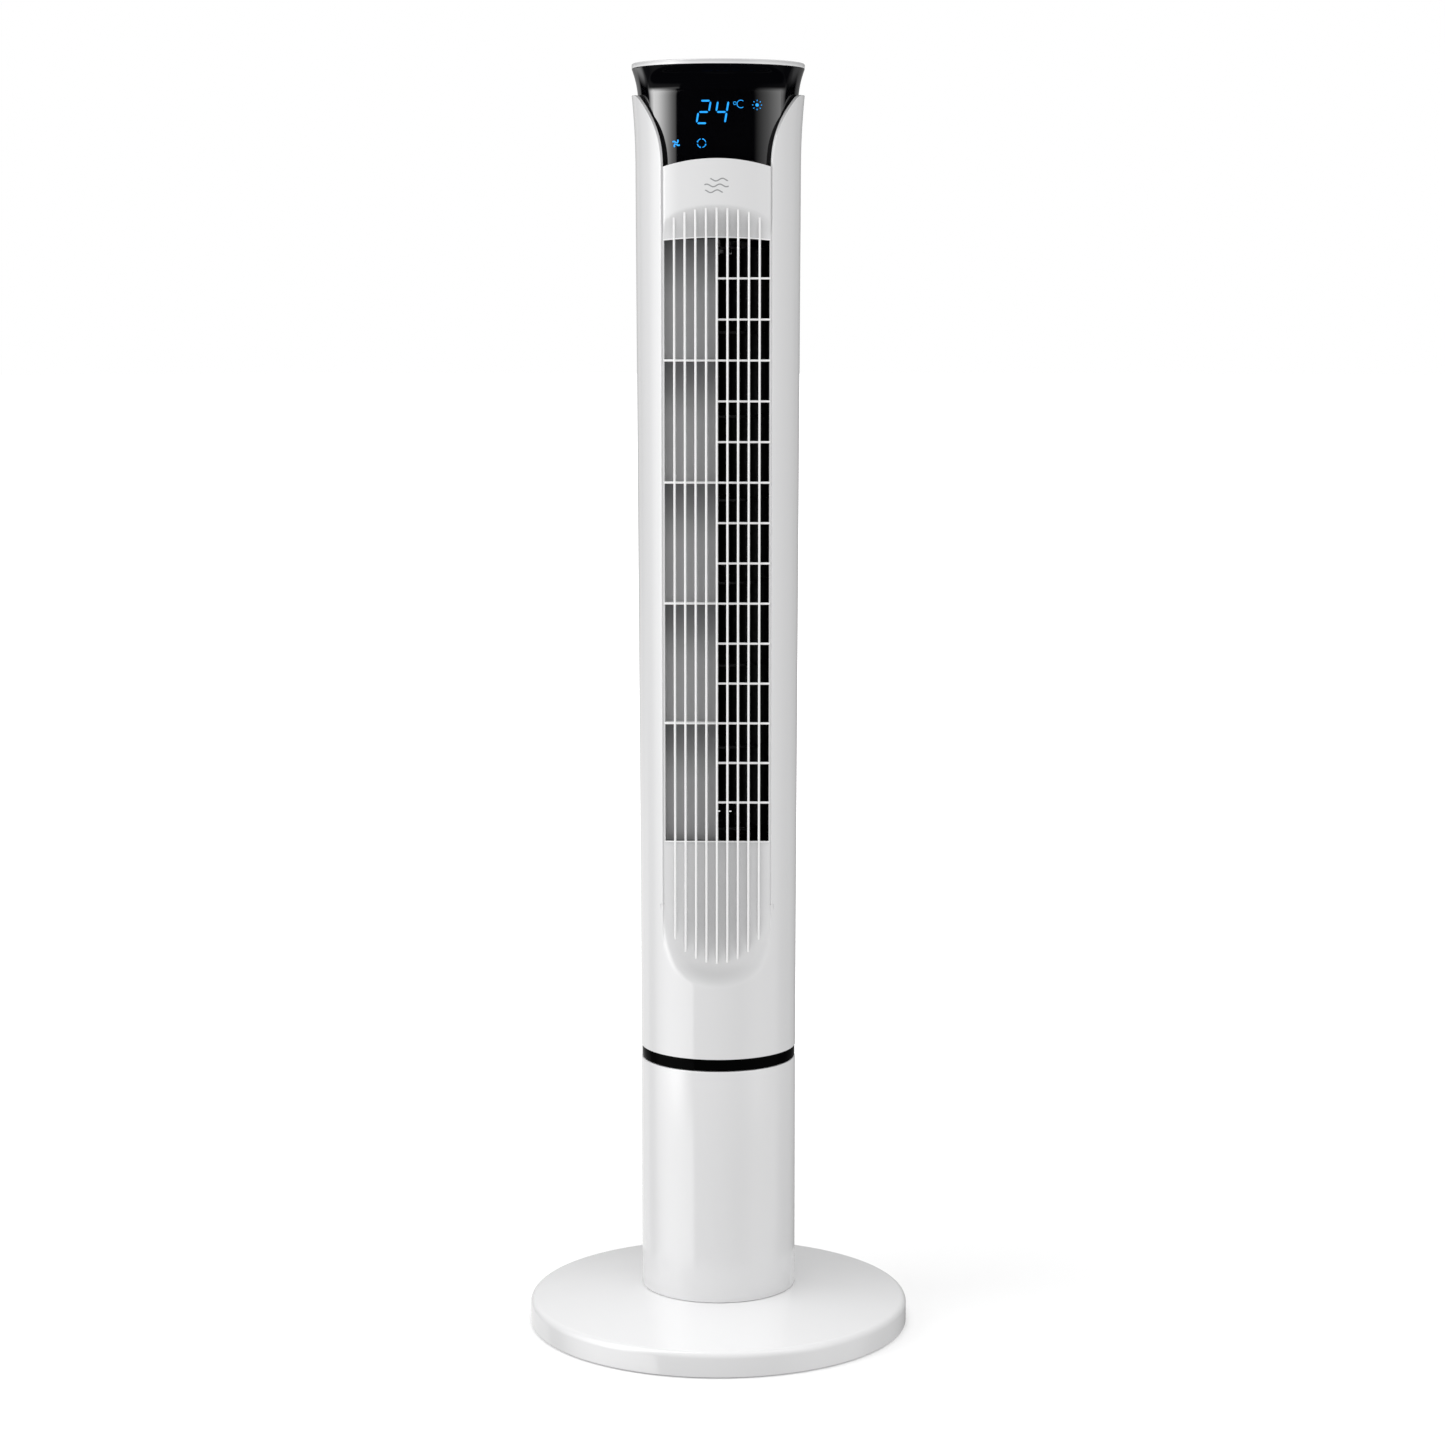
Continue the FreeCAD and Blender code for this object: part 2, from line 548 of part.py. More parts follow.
def lapel_cutter():
    """The air above the two side wings: each edge sweeps from the face's seam out to a tip."""
    half = FACE_HALF_WIDTH + SEAM_GAP
    low_left, low_right = Vector(-half, -FAR, SHOULDER_Z - 2), Vector(half, -FAR, SHOULDER_Z - 2)
    curves = []
    for low in (low_left, low_right):
        side = 1 if low.x > 0 else -1
        bezier = Part.BezierCurve()
        bezier.setPoles([low, Vector(low.x, -FAR, 953), Vector(side * 48.5, -FAR, 970),
                         Vector(side * 64.3, -FAR, TIP_Z)])
        curves.append(bezier.toShape())
    left_tip, right_tip = (c.valueAt(c.LastParameter) for c in curves)
    high_left, high_right = Vector(left_tip.x, -FAR, 1100), Vector(right_tip.x, -FAR, 1100)
    edges = [line(low_left, low_right), curves[1], line(right_tip, high_right), line(high_right, high_left),
             line(high_left, left_tip), curves[0]]
    return Part.Face(Part.Wire(Part.sortEdges(edges)[0])).extrude(Vector(0, FAR, 0))


def screw_places():
    return [(side * SCREW_X, z) for side in (-1, 1) for z in SCREW_LEVELS]


def floor_tabs(y_sign):
    """Tabs that reach in from the casing's foot, over the turntable's bosses."""
    tabs, top = [], FLOOR_TAB_TOP_Z
    for x, y in FLOOR_SCREWS:
        if y * y_sign > 0:
            end = cylinder(5.5, top - 2.5, top, x, y)
            arm = block(min(x, 1.4 * x), max(x, 1.4 * x), y - 5.5, y + 5.5, top - 2.5, top)
            tabs.append(fuse([end, arm]).common(envelope(WALL / 2)))
    return tabs


def head_tabs(y_sign):
    """Tabs under the head."""
    tabs, top = [], HEAD_BOTTOM_Z - 0.2
    for x, y in HEAD_SCREWS:
        if y * y_sign > 0:
            arm = block(min(x, 1.4 * x), max(x, 1.4 * x), y - 5, y + 5, top - 2.5, top)
            tabs.append(fuse([cylinder(5.0, top - 2.5, top, x, y), arm]).common(envelope(WALL / 2)))
    return tabs


def tab_holes():
    holes = [cylinder(1.9, FLOOR_TAB_TOP_Z - 4, FLOOR_TAB_TOP_Z + 2, x, y) for x, y in FLOOR_SCREWS]
    return holes + [cylinder(1.9, HEAD_BOTTOM_Z - 5, HEAD_BOTTOM_Z + 2, x, y) for x, y in HEAD_SCREWS]


def make_front_casing():
    """Front half of the tower: the two wings, and the plain skirt under the air outlet."""
    half = shell().common(block(-FAR, FAR, -FAR, SEAM_Y, 0, 1100))
    bosses = [rod_y(3.8, -30, SEAM_Y, x, z).common(envelope(WALL / 2)) for x, z in screw_places()]
    lugs = [block(x0, x0 + 9, -24, -14, z - 8, z).common(envelope(WALL / 2))
            for z in (MOTOR_PLATE_Z, TOP_BRACKET_Z) for x0 in (-60, 51)]
    body = fuse([half] + bosses + lugs + floor_tabs(-1) + head_tabs(-1))
    holes = [rod_y(1.35, -22, SEAM_Y + 1, x, z) for x, z in screw_places()] + tab_holes()
    body = body.cut(insert_space(SEAM_GAP, FACE_WALL + 0.1)).cut(lapel_cutter())
    return body.cut(Part.makeCompound(holes))


def intake_sector(grow_deg, grow_z):
    """Wedge of the rear wall that the intake grille fills."""
    half = math.radians(INTAKE_HALF_ANGLE + grow_deg)
    reach = FAR / 2
    a, b = Vector(0, 0, 0), Vector(reach * math.sin(half), reach * math.cos(half), 0)
    c = Vector(-b.x, b.y, 0)
    top = Vector(0, reach, 0)
    wedge = face_of([line(a, b), line(b, top), line(top, c), line(c, a)])
    wedge = wedge.extrude(Vector(0, 0, INTAKE_TOP_Z - INTAKE_BOTTOM_Z + 2 * grow_z))
    wedge.translate(Vector(0, 0, INTAKE_BOTTOM_Z - grow_z))
    return wedge


def handle_prism(inset, y0, y1):
    """The carry recess as a rounded bar along Y."""
    box = block(-HANDLE_HALF_WIDTH + inset, HANDLE_HALF_WIDTH - inset, y0, y1,
                HANDLE_BOTTOM_Z + inset, HANDLE_TOP_Z - inset)
    corners = [e for e in box.Edges if abs(e.BoundBox.YLength - (y1 - y0)) < 1e-6]
    return box.makeFillet(10.0 - inset, corners)


def rear_half():
    """The whole rear wall, with its bosses and tabs, and the openings for the grille and the handle."""
    half = shell().common(block(-FAR, FAR, SEAM_Y + CLEAR, FAR, 0, 1100))
    bosses = [rod_y(5.6, SEAM_Y + CLEAR, 60, x, z).common(envelope(WALL / 2)) for x, z in screw_places()]
    body = fuse([half] + bosses + floor_tabs(1) + head_tabs(1))
    holes = [rod_y(1.8, 0, 80, x, z) for x, z in screw_places()] + tab_holes()
    holes += [rod_y(3.5, 17, 80, x, z) for x, z in screw_places()]
    return body.cut(intake_sector(0.3, 0.3)).cut(handle_prism(0, 40, 90)).cut(Part.makeCompound(holes))


def make_rear_casing():
    return rear_half().common(block(-FAR, FAR, -FAR, FAR, 0, REAR_SPLIT_Z))


def make_rear_top_casing():
    """Top of the rear wall. The carrying handle is set into it."""
    return rear_half().common(block(-FAR, FAR, -FAR, FAR, REAR_SPLIT_Z + CLEAR, 1100))


def make_casing_screws():
    screws = []
    for x, z in screw_places():
        head = rod_y(3.0, 17.0, 19.0, x, z)
        body = fuse([head, rod_y(1.35, -12, 17.5, x, z)])
        slots = [block(x - 1.7, x + 1.7, 18.0, 20, z - 0.35, z + 0.35),
                 block(x - 0.35, x + 0.35, 18.0, 20, z - 1.7, z + 1.7)]
        screws.append(body.cut(Part.makeCompound(slots)))
    return Part.makeCompound(screws)


def make_rear_grille():
    """Snap-in intake grille: rows of upright slots."""
    panel = shell().common(intake_sector(0, 0))
    row_height = (INTAKE_TOP_Z - INTAKE_BOTTOM_Z - 8) / SLOT_ROWS
    slots = []
    for row in range(SLOT_ROWS):
        low = INTAKE_BOTTOM_Z + 8 + row * row_height
        high = low + row_height - 8
        radius = SLOT_WIDTH / 2
        for column in range(SLOT_COLUMNS):
            a, b = Vector(-radius, 40, low + radius), Vector(-radius, 40, high - radius)
            c, d = Vector(radius, 40, high - radius), Vector(radius, 40, low + radius)
            top = Part.Arc(b, Vector(0, 40, high), c).toShape()
            bottom = Part.Arc(d, Vector(0, 40, low), a).toShape()
            slot = face_of([line(a, b), top, line(c, d), bottom]).extrude(Vector(0, 50, 0))
            turn = (column - (SLOT_COLUMNS - 1) / 2) * SLOT_STEP_DEG
            slot.rotate(Vector(0, 0, 0), Vector(0, 0, 1), turn)
            slots.append(slot)
    return panel.cut(Part.makeCompound(slots))


def make_dust_screen():
    """Fine filter mesh behind the intake grille, as a plain thin sheet."""
    sheet = envelope(WALL + 0.1).cut(envelope(WALL + 0.1 + SCREEN_THICKNESS))
    return sheet.common(intake_sector(-0.8, -1.0))


def make_carry_handle():
    """Cup set into the rear casing, for the fingers that lift the fan."""
    outer = handle_prism(0.1, HANDLE_DEPTH_Y, 90).common(envelope(0.2))
    return outer.cut(handle_prism(HANDLE_WALL, HANDLE_DEPTH_Y + HANDLE_WALL, 95))


# ---- front face ---------------------------------------------------------------------------------------
def make_front_grille():
    """Insert between the wings: plain top panel, air outlet with ribs and bars, and the ramp below it."""
    half = FACE_HALF_WIDTH - SEAM_GAP
    band = recess(FACE_WALL, -half, half).cut(recess(0, -FAR, FAR))
    low_band = band.common(block(-FAR, FAR, -FAR, FAR, 0, 700))
    high_band = band.common(block(-FAR, FAR, -FAR, FAR, 700, 1000)).common(face_cylinder(0))
    panel = face_cylinder(0).cut(face_cylinder(FACE_WALL))
    panel = panel.common(arch_prism(half, FACE_TOP_Z, FACE_TOP_ARCH, 880, -30, 3)).cut(recess(0, -FAR, FAR))
    window = arch_prism(OUTLET_HALF_WIDTH, OUTLET_TOP_Z - 2, OUTLET_ARCH, OUTLET_BOTTOM_Z, -30, 30)
    body = fuse([low_band, high_band, panel]).cut(window)
    ribs = []
    for i in range(RIB_COUNT):
        x = (i - (RIB_COUNT - 1) / 2) * RIB_PITCH
        rib = recess(1.6, x - RIB_THICKNESS / 2, x + RIB_THICKNESS / 2)
        ribs.append(rib.common(face_cylinder(RIB_SINK)))
    bars = []
    pitch = (OUTLET_TOP_Z - OUTLET_BOTTOM_Z) / (BAR_COUNT + 1)
    for i in range(1, BAR_COUNT + 1):
        z = OUTLET_BOTTOM_Z + i * pitch
        is_fin = i % BARS_PER_FIN == 0
        left = -OUTLET_HALF_WIDTH - 0.5 if is_fin else 0
        bars.append(block(left, OUTLET_HALF_WIDTH + 0.5, -0.6, 1.6, z - BAR_HEIGHT / 2, z + BAR_HEIGHT / 2))
        if is_fin:
            bars.append(block(left + 1, 0.5, 1.0, FIN_DEPTH, z - BAR_HEIGHT / 2, z + BAR_HEIGHT / 2))
    whole = to_tower(fuse([body] + ribs + bars))
    return whole.common(envelope(0))


def make_air_guide():
    """Pale wall behind the outlet's left half, ending in the blower's tongue."""
    front = block(-41.5, -0.6, FIN_DEPTH + 0.5, FIN_DEPTH + 2.3, OUTLET_BOTTOM_Z - 2, OUTLET_TOP_Z - 4)
    tongue = block(-2.6, -0.6, FIN_DEPTH + 0.5, FIN_DEPTH + 5.0, OUTLET_BOTTOM_Z - 2, OUTLET_TOP_Z - 4)
    side = block(-43.3, -41.5, 3.0, FIN_DEPTH + 2.3, OUTLET_BOTTOM_Z - 2, OUTLET_TOP_Z - 4)
    return to_tower(fuse([front, tongue, side]))


def make_duct_volute():
    """Dark scroll wall: it leads the air round the blower's right side to the outlet."""
    low, high = MOTOR_PLATE_Z + PLATE_THICKNESS + CLEAR, TOP_BRACKET_Z - CLEAR
    scroll = tube(47.6, 46.0, low, high, 0, AXIS_Y)
    quadrant = block(0, FAR, AXIS_Y, FAR, 0, 1100)
    scroll = scroll.common(quadrant).cut(block(-1, 22, 0, FAR, 0, 1100))
    wall = block(46.0, 47.6, -36, AXIS_Y, low, high)
    return fuse([scroll, wall])


def make_motor_plate():
    low, high = MOTOR_PLATE_Z, MOTOR_PLATE_Z + PLATE_THICKNESS
    disc = cylinder(57.5, low, high).cut(block(-FAR, FAR, -FAR, -40, 0, 1100))
    holes = [cylinder(13.5, low - 1, high + 1, 0, AXIS_Y)]
    holes += [cylinder(2.0, low - 1, high + 1, x, y + AXIS_Y) for x, y in on_circle(28.0, 4, 45)]
    return disc.cut(Part.makeCompound(holes))


def make_top_bracket():
    low = TOP_BRACKET_Z
    disc = cylinder(59.0, low, low + PLATE_THICKNESS).cut(block(-FAR, FAR, -FAR, -42, 0, 1100))
    hub = cylinder(18.0, low, low + 9, 0, AXIS_Y)
    return fuse([disc, hub]).cut(cylinder(13.0, low - 1, low + 10, 0, AXIS_Y))


def make_bearing_mount():
    """Rubber ring that carries the top bearing."""
    return tube(13.0, 8.0, TOP_BRACKET_Z, TOP_BRACKET_Z + 9, 0, AXIS_Y)


def make_top_bearing():
    return tube(8.0, SHAFT_RADIUS + RUNNING_CLEARANCE, TOP_BRACKET_Z, TOP_BRACKET_Z + 9, 0, AXIS_Y)


# ---- blower and motor ---------------------------------------------------------------------------------
def blade(z0, z1):
    """One forward-curved blade at angle 0, about the origin."""
    a = Vector(IMPELLER_INNER_RADIUS, 0.3, z0)
    b = Vector(IMPELLER_RADIUS - 0.6, 3.6, z0)
    bow = Vector((a.x + b.x) / 2 + 0.9, 1.2, z0)
    thickness = Vector(-0.45, 1.0, 0).normalize() * 1.0
    inner_arc = Part.Arc(a, bow, b).toShape()
    outer_arc = Part.Arc(a + thickness, bow + thickness, b + thickness).toShape()
    edges = [inner_arc, line(b, b + thickness), outer_arc, line(a + thickness, a)]
    return Part.Face(Part.Wire(Part.sortEdges(edges)[0])).extrude(Vector(0, 0, z1 - z0))


def make_impeller():
    """Cross-flow wheel: long blades held by end plates and by rings between the sections."""
    plate = 1.6
    section = (IMPELLER_TOP_Z - IMPELLER_BOTTOM_Z - plate) / IMPELLER_SECTIONS
    plates = []
    for i in range(IMPELLER_SECTIONS + 1):
        z = IMPELLER_BOTTOM_Z + i * section
        if i in (0, IMPELLER_SECTIONS):
            plates.append(cylinder(IMPELLER_RADIUS, z, z + plate))
        else:
            plates.append(tube(IMPELLER_RADIUS, IMPELLER_INNER_RADIUS - 2.0, z, z + plate))
    blades = []
    for i in range(BLADE_COUNT):
        one = blade(IMPELLER_BOTTOM_Z, IMPELLER_TOP_Z)
        one.rotate(Vector(0, 0, 0), Vector(0, 0, 1), i * 360.0 / BLADE_COUNT)
        blades.append(one)
    wheel = plates[0].multiFuse(plates[1:] + blades)
    wheel = wheel.cut(cylinder(SHAFT_RADIUS, IMPELLER_TOP_Z - 5, IMPELLER_TOP_Z + 5))
    wheel = wheel.cut(cylinder(9.0, IMPELLER_BOTTOM_Z - 5, IMPELLER_BOTTOM_Z + 5))
    wheel.translate(Vector(0, AXIS_Y, 0))
    return wheel


def make_top_shaft():
    """Steel stub in the impeller's top plate, running in the top bearing."""
    pin = cylinder(SHAFT_RADIUS, IMPELLER_TOP_Z - 1.6, TOP_BRACKET_Z + 9.5, 0, AXIS_Y)
    flange = cylinder(10.0, IMPELLER_TOP_Z - 4.6, IMPELLER_TOP_Z - 1.6, 0, AXIS_Y)
    return fuse([pin, flange])


def make_drive_coupling():
    """Rubber hub between the motor's shaft and the impeller."""
    hub = cylinder(12.0, MOTOR_PLATE_Z + PLATE_THICKNESS + 3, IMPELLER_BOTTOM_Z, 0, AXIS_Y)
    neck = cylinder(9.0, IMPELLER_BOTTOM_Z - 1, IMPELLER_BOTTOM_Z + 4, 0, AXIS_Y)
    return fuse([hub, neck]).cut(cylinder(SHAFT_RADIUS, MOTOR_PLATE_Z, SHAFT_TOP_Z, 0, AXIS_Y))


def make_motor_shaft():
    return cylinder(SHAFT_RADIUS, MOTOR_BOTTOM_Z - 4, SHAFT_TOP_Z, 0, AXIS_Y)


def make_motor_rotor():
    return tube(21.0, SHAFT_RADIUS, MOTOR_MIDDLE_Z - 14, MOTOR_MIDDLE_Z + 14, 0, AXIS_Y)


def make_stator_core():
    core = tube(MOTOR_RADIUS - 2.5, 21.6, MOTOR_MIDDLE_Z - 10, MOTOR_MIDDLE_Z + 10, 0, AXIS_Y)
    slots = [cylinder(3.6, MOTOR_MIDDLE_Z - 20, MOTOR_MIDDLE_Z + 20, x, y + AXIS_Y)
             for x, y in on_circle(26.5, 8)]
    return core.cut(Part.makeCompound(slots))


def make_stator_windings():
    return Part.makeCompound([cylinder(3.4, MOTOR_MIDDLE_Z - 16, MOTOR_MIDDLE_Z + 16, x, y + AXIS_Y)
                              for x, y in on_circle(26.5, 8)])


def bell(z_open, z_closed):
    """One half of the motor's can: a cup with a bearing hole in its end."""
    low, high = min(z_open, z_closed), max(z_open, z_closed)
    end = 3.0
    cup = cylinder(MOTOR_RADIUS, low, high, 0, AXIS_Y)
    if z_open < z_closed:
        hollow = cylinder(MOTOR_RADIUS - 2.4, low - 1, high - end, 0, AXIS_Y)
    else:
        hollow = cylinder(MOTOR_RADIUS - 2.4, low + end, high + 1, 0, AXIS_Y)
    vents = [cylinder(3.5, low - 5, high + 5, x, y + AXIS_Y) for x, y in on_circle(15.0, 6)]
    bore = cylinder(SHAFT_RADIUS + RUNNING_CLEARANCE, low - 9, high + 9, 0, AXIS_Y)
    return cup.cut(hollow).cut(Part.makeCompound(vents + [bore]))


def motor_feet():
    return [(x, y + AXIS_Y) for x, y in on_circle(28.0, 4, 45)]


def make_motor_upper_bell():
    cup = bell(MOTOR_MIDDLE_Z + 0.1, MOTOR_TOP_Z)
    feet = [cylinder(4.0, MOTOR_TOP_Z - 2, MOTOR_PLATE_Z, x, y) for x, y in motor_feet()]
    holes = [cylinder(1.45, MOTOR_TOP_Z - 4, MOTOR_PLATE_Z + 1, x, y) for x, y in motor_feet()]
    return fuse([cup] + feet).cut(Part.makeCompound(holes))


def make_motor_lower_bell():
    return bell(MOTOR_MIDDLE_Z - 0.1, MOTOR_BOTTOM_Z)


def make_motor_screws():
    return Part.makeCompound([screw(x, y, MOTOR_PLATE_Z + PLATE_THICKNESS, 8.5, shank=1.4, up=False)
                              for x, y in motor_feet()])


# ---- electronics in the foot of the tower ---------------------------------------------------------------
def make_power_board():
    return block(-41.5, 41.5, -32.8, -31.2, TURNTABLE_TOP_Z + 2.5, TURNTABLE_TOP_Z + 75)


def make_run_capacitor():
    low = TURNTABLE_TOP_Z + 42
    box = block(-38, 0, -31.2, -13.0, low, low + 28)
    return box.makeFillet(1.5, [e for e in box.Edges if abs(e.BoundBox.YLength - 18.2) < 1e-6])


def make_power_board_parts():
    low = TURNTABLE_TOP_Z + 26
    relays = [block(8 + i * 12, 17 + i * 12, -31.2, -16.0, low + 24, low + 42) for i in range(2)]
    caps = [rod_y(5.0, -31.2, -17.2, 12 + i * 14, low + 8) for i in range(2)]
    connector = block(-36, -14, -31.2, -24, low, low + 8)
    return Part.makeCompound(relays + caps + [connector])


# ---- head ---------------------------------------------------------------------------------------------
def head_round(inset, z0=HEAD_BOTTOM_Z, z1=RIM_Z):
    """The head's round shape, flaring to its rim, as a filled solid."""
    low = Vector(HEAD_BOTTOM_RADIUS - inset, 0, HEAD_BOTTOM_Z)
    neck = Vector(HEAD_NECK_RADIUS - inset, 0, HEAD_NECK_Z)
    rim = Vector(RIM_RADIUS - inset, 0, RIM_Z)
    axis_low, axis_high = Vector(0, 0, HEAD_BOTTOM_Z), Vector(0, 0, RIM_Z)
    flare = tangent_arc(neck, neck - low, rim)
    solid = lathe([line(axis_low, low), line(low, neck), flare, line(rim, axis_high),
                   line(axis_high, axis_low)])
    return solid.common(block(-FAR, FAR, -FAR, FAR, z0, z1))


def display_face(inset, z0=HEAD_BOTTOM_Z, z1=RIM_Z):
    """Everything behind the display's face, which curves outwards under the rim like a visor."""
    radius = LENS_RADIUS - inset
    low, turn = Vector(radius, 0, HEAD_BOTTOM_Z), Vector(radius, 0, LENS_TOP_Z)
    lip, rim = Vector(radius + VISOR_REACH, 0, VISOR_END_Z), Vector(radius + VISOR_REACH, 0, RIM_Z)
    axis_low, axis_high = Vector(0, 0, HEAD_BOTTOM_Z), Vector(0, 0, RIM_Z)
    visor = tangent_arc(turn, Vector(0, 0, 1), lip)
    solid = lathe([line(axis_low, low), line(low, turn), visor, line(lip, rim), line(rim, axis_high),
                   line(axis_high, axis_low)], 0, LENS_FRONT_Y + LENS_RADIUS)
    return solid.common(block(-FAR, FAR, -FAR, FAR, z0, z1))


def lens_zone(back, half_width, z_top):
    """The slab behind the display face that the lens fills."""
    slab = display_face(0, HEAD_BOTTOM_Z, z_top).cut(display_face(back, HEAD_BOTTOM_Z, z_top))
    return slab.common(block(-half_width, half_width, -FAR, -20, HEAD_BOTTOM_Z, z_top))


def make_display_lens():
    return lens_zone(LENS_THICKNESS, LENS_HALF_WIDTH, LENS_TOP_Z).common(head_round(0))


def make_head_shell():
    outer = head_round(0).common(display_face(0))
    pocket = lens_zone(LENS_THICKNESS + 0.1, LENS_HALF_WIDTH + 0.1, LENS_TOP_Z + 0.1)
    floor_z = HEAD_BOTTOM_Z + HEAD_FLOOR
    hollow = head_round(HEAD_WALL, floor_z, RIM_Z)
    hollow = hollow.common(display_face(LENS_THICKNESS + HEAD_WALL, floor_z, RIM_Z))
    bosses = [cylinder(4.0, HEAD_BOTTOM_Z, HEAD_BOTTOM_Z + 10, x, y) for x, y in HEAD_SCREWS]
    window = block(-37, 37, -FAR, -20, 946, 988)
    wires = cylinder(12.0, HEAD_BOTTOM_Z - 5, floor_z + 1, 0, 10)
    holes = [cylinder(1.45, HEAD_BOTTOM_Z - 1, HEAD_BOTTOM_Z + 9, x, y) for x, y in HEAD_SCREWS]
    shell_body = outer.cut(pocket).cut(hollow).cut(window).cut(wires)
    return fuse([shell_body] + bosses).cut(Part.makeCompound(holes))


def make_head_screws():
    return Part.makeCompound([screw(x, y, HEAD_BOTTOM_Z - 2.7, 9.0, shank=1.4, head=2.8)
                              for x, y in HEAD_SCREWS])


def make_display_board():
    return block(-37, 37, -38.0, -36.4, 944, 990)


def make_led_display():
    """Light blocks behind the lens: two digits, the degree sign and three symbols."""
    front, back = -41.0, -38.0
    digits = block(-17, 11, front, back, 964, 985)
    unit = block(12, 23, front, back, 975, 985)
    symbols = [block(x - 5, x + 5, front, back, z - 5, z + 5)
               for x, z in ((-31, 951), (-12, 951), (31, 980))]
    return Part.makeCompound([digits, unit] + symbols)


def button_places():
    first = -BUTTON_STEP_DEG * (len(BUTTON_NAMES) - 1) / 2
    angles = [math.radians(first + i * BUTTON_STEP_DEG) for i in range(len(BUTTON_NAMES))]
    return [(BUTTON_CIRCLE * math.sin(a), -BUTTON_CIRCLE * math.cos(a)) for a in angles]


def board_post_places():
    return [(-46.0, 14.0), (46.0, 14.0), (0.0, 48.0)]


def make_top_cap():
    """White lid: barely domed, with a deep lip and holes for the buttons."""
    seat_z = RIM_Z + 0.2
    centre_top, edge_top = Vector(0, 0, CAP_TOP_Z), Vector(RIM_RADIUS - 0.8, 0, CAP_EDGE_Z)
    lip, seat = Vector(RIM_RADIUS, 0, CAP_EDGE_Z - 0.6), Vector(RIM_RADIUS - 0.2, 0, seat_z)
    dome = tangent_arc(centre_top, Vector(1, 0, 0), edge_top)
    outside = lathe([dome, line(edge_top, lip), line(lip, seat), line(seat, Vector(0, 0, seat_z)),
                     line(Vector(0, 0, seat_z), centre_top)])
    inside_top, inside_edge = Vector(0, 0, CAP_TOP_Z - CAP_WALL), Vector(60, 0, seat_z)
    under = lathe([tangent_arc(inside_top, Vector(1, 0, 0), inside_edge),
                   line(inside_edge, Vector(0, 0, seat_z)), line(Vector(0, 0, seat_z), inside_top)])
    skirt = tube(62.6, 60.6, RIM_Z - 4, seat_z + 0.3).cut(block(-FAR, FAR, -FAR, -40, 0, 1100))
    post_low = BOARD_Z + BOARD_THICKNESS
    post_zone = outside.fuse(cylinder(80, post_low, seat_z))
    posts = [cylinder(3.4, post_low, CAP_TOP_Z, x, y).common(post_zone) for x, y in board_post_places()]
    body = fuse([outside.cut(under), skirt] + posts)
    holes = [cylinder(BUTTON_RADIUS + 0.3, BOARD_Z, CAP_TOP_Z + 5, x, y) for x, y in button_places()]
    holes += [cylinder(1.1, BOARD_Z, BOARD_Z + 9, x, y) for x, y in board_post_places()]
    return body.cut(Part.makeCompound(holes))


def make_button(x, y):
    """Push button with a retaining flange under the lid and a stem over its switch."""
    cap = cylinder(BUTTON_RADIUS, BUTTON_FLANGE_Z, BUTTON_TOP_Z, x, y)
    rims = [e for e in cap.Edges if e.BoundBox.ZMin > BUTTON_TOP_Z - 0.01]
    flange = cylinder(BUTTON_RADIUS + 1.2, BUTTON_FLANGE_Z, BUTTON_FLANGE_Z + 1.0, x, y)
    stem = cylinder(1.6, BOARD_Z + 5.8, BUTTON_FLANGE_Z + 0.5, x, y)
    return fuse([cap.makeFillet(0.6, rims), flange, stem])


def make_control_board():
    top = BOARD_Z + BOARD_THICKNESS
    disc = cylinder(55.0, BOARD_Z, top)
    disc = disc.common(display_face(LENS_THICKNESS + HEAD_WALL + 1))
    holes = [cylinder(1.5, BOARD_Z - 1, top + 1, x, y) for x, y in board_post_places()]
    return disc.cut(Part.makeCompound(holes))


def make_tact_switches():
    switches, low = [], BOARD_Z + BOARD_THICKNESS
    for x, y in button_places():
        body = block(x - 3, x + 3, y - 3, y + 3, low, low + 2.2)
        switches.append(fuse([body, cylinder(1.5, low + 2, low + 2.9, x, y)]))
    return Part.makeCompound(switches)


def make_board_screws():
    return Part.makeCompound([screw(x, y, BOARD_Z, 7.0, shank=1.05, head=2.6)
                              for x, y in board_post_places()])


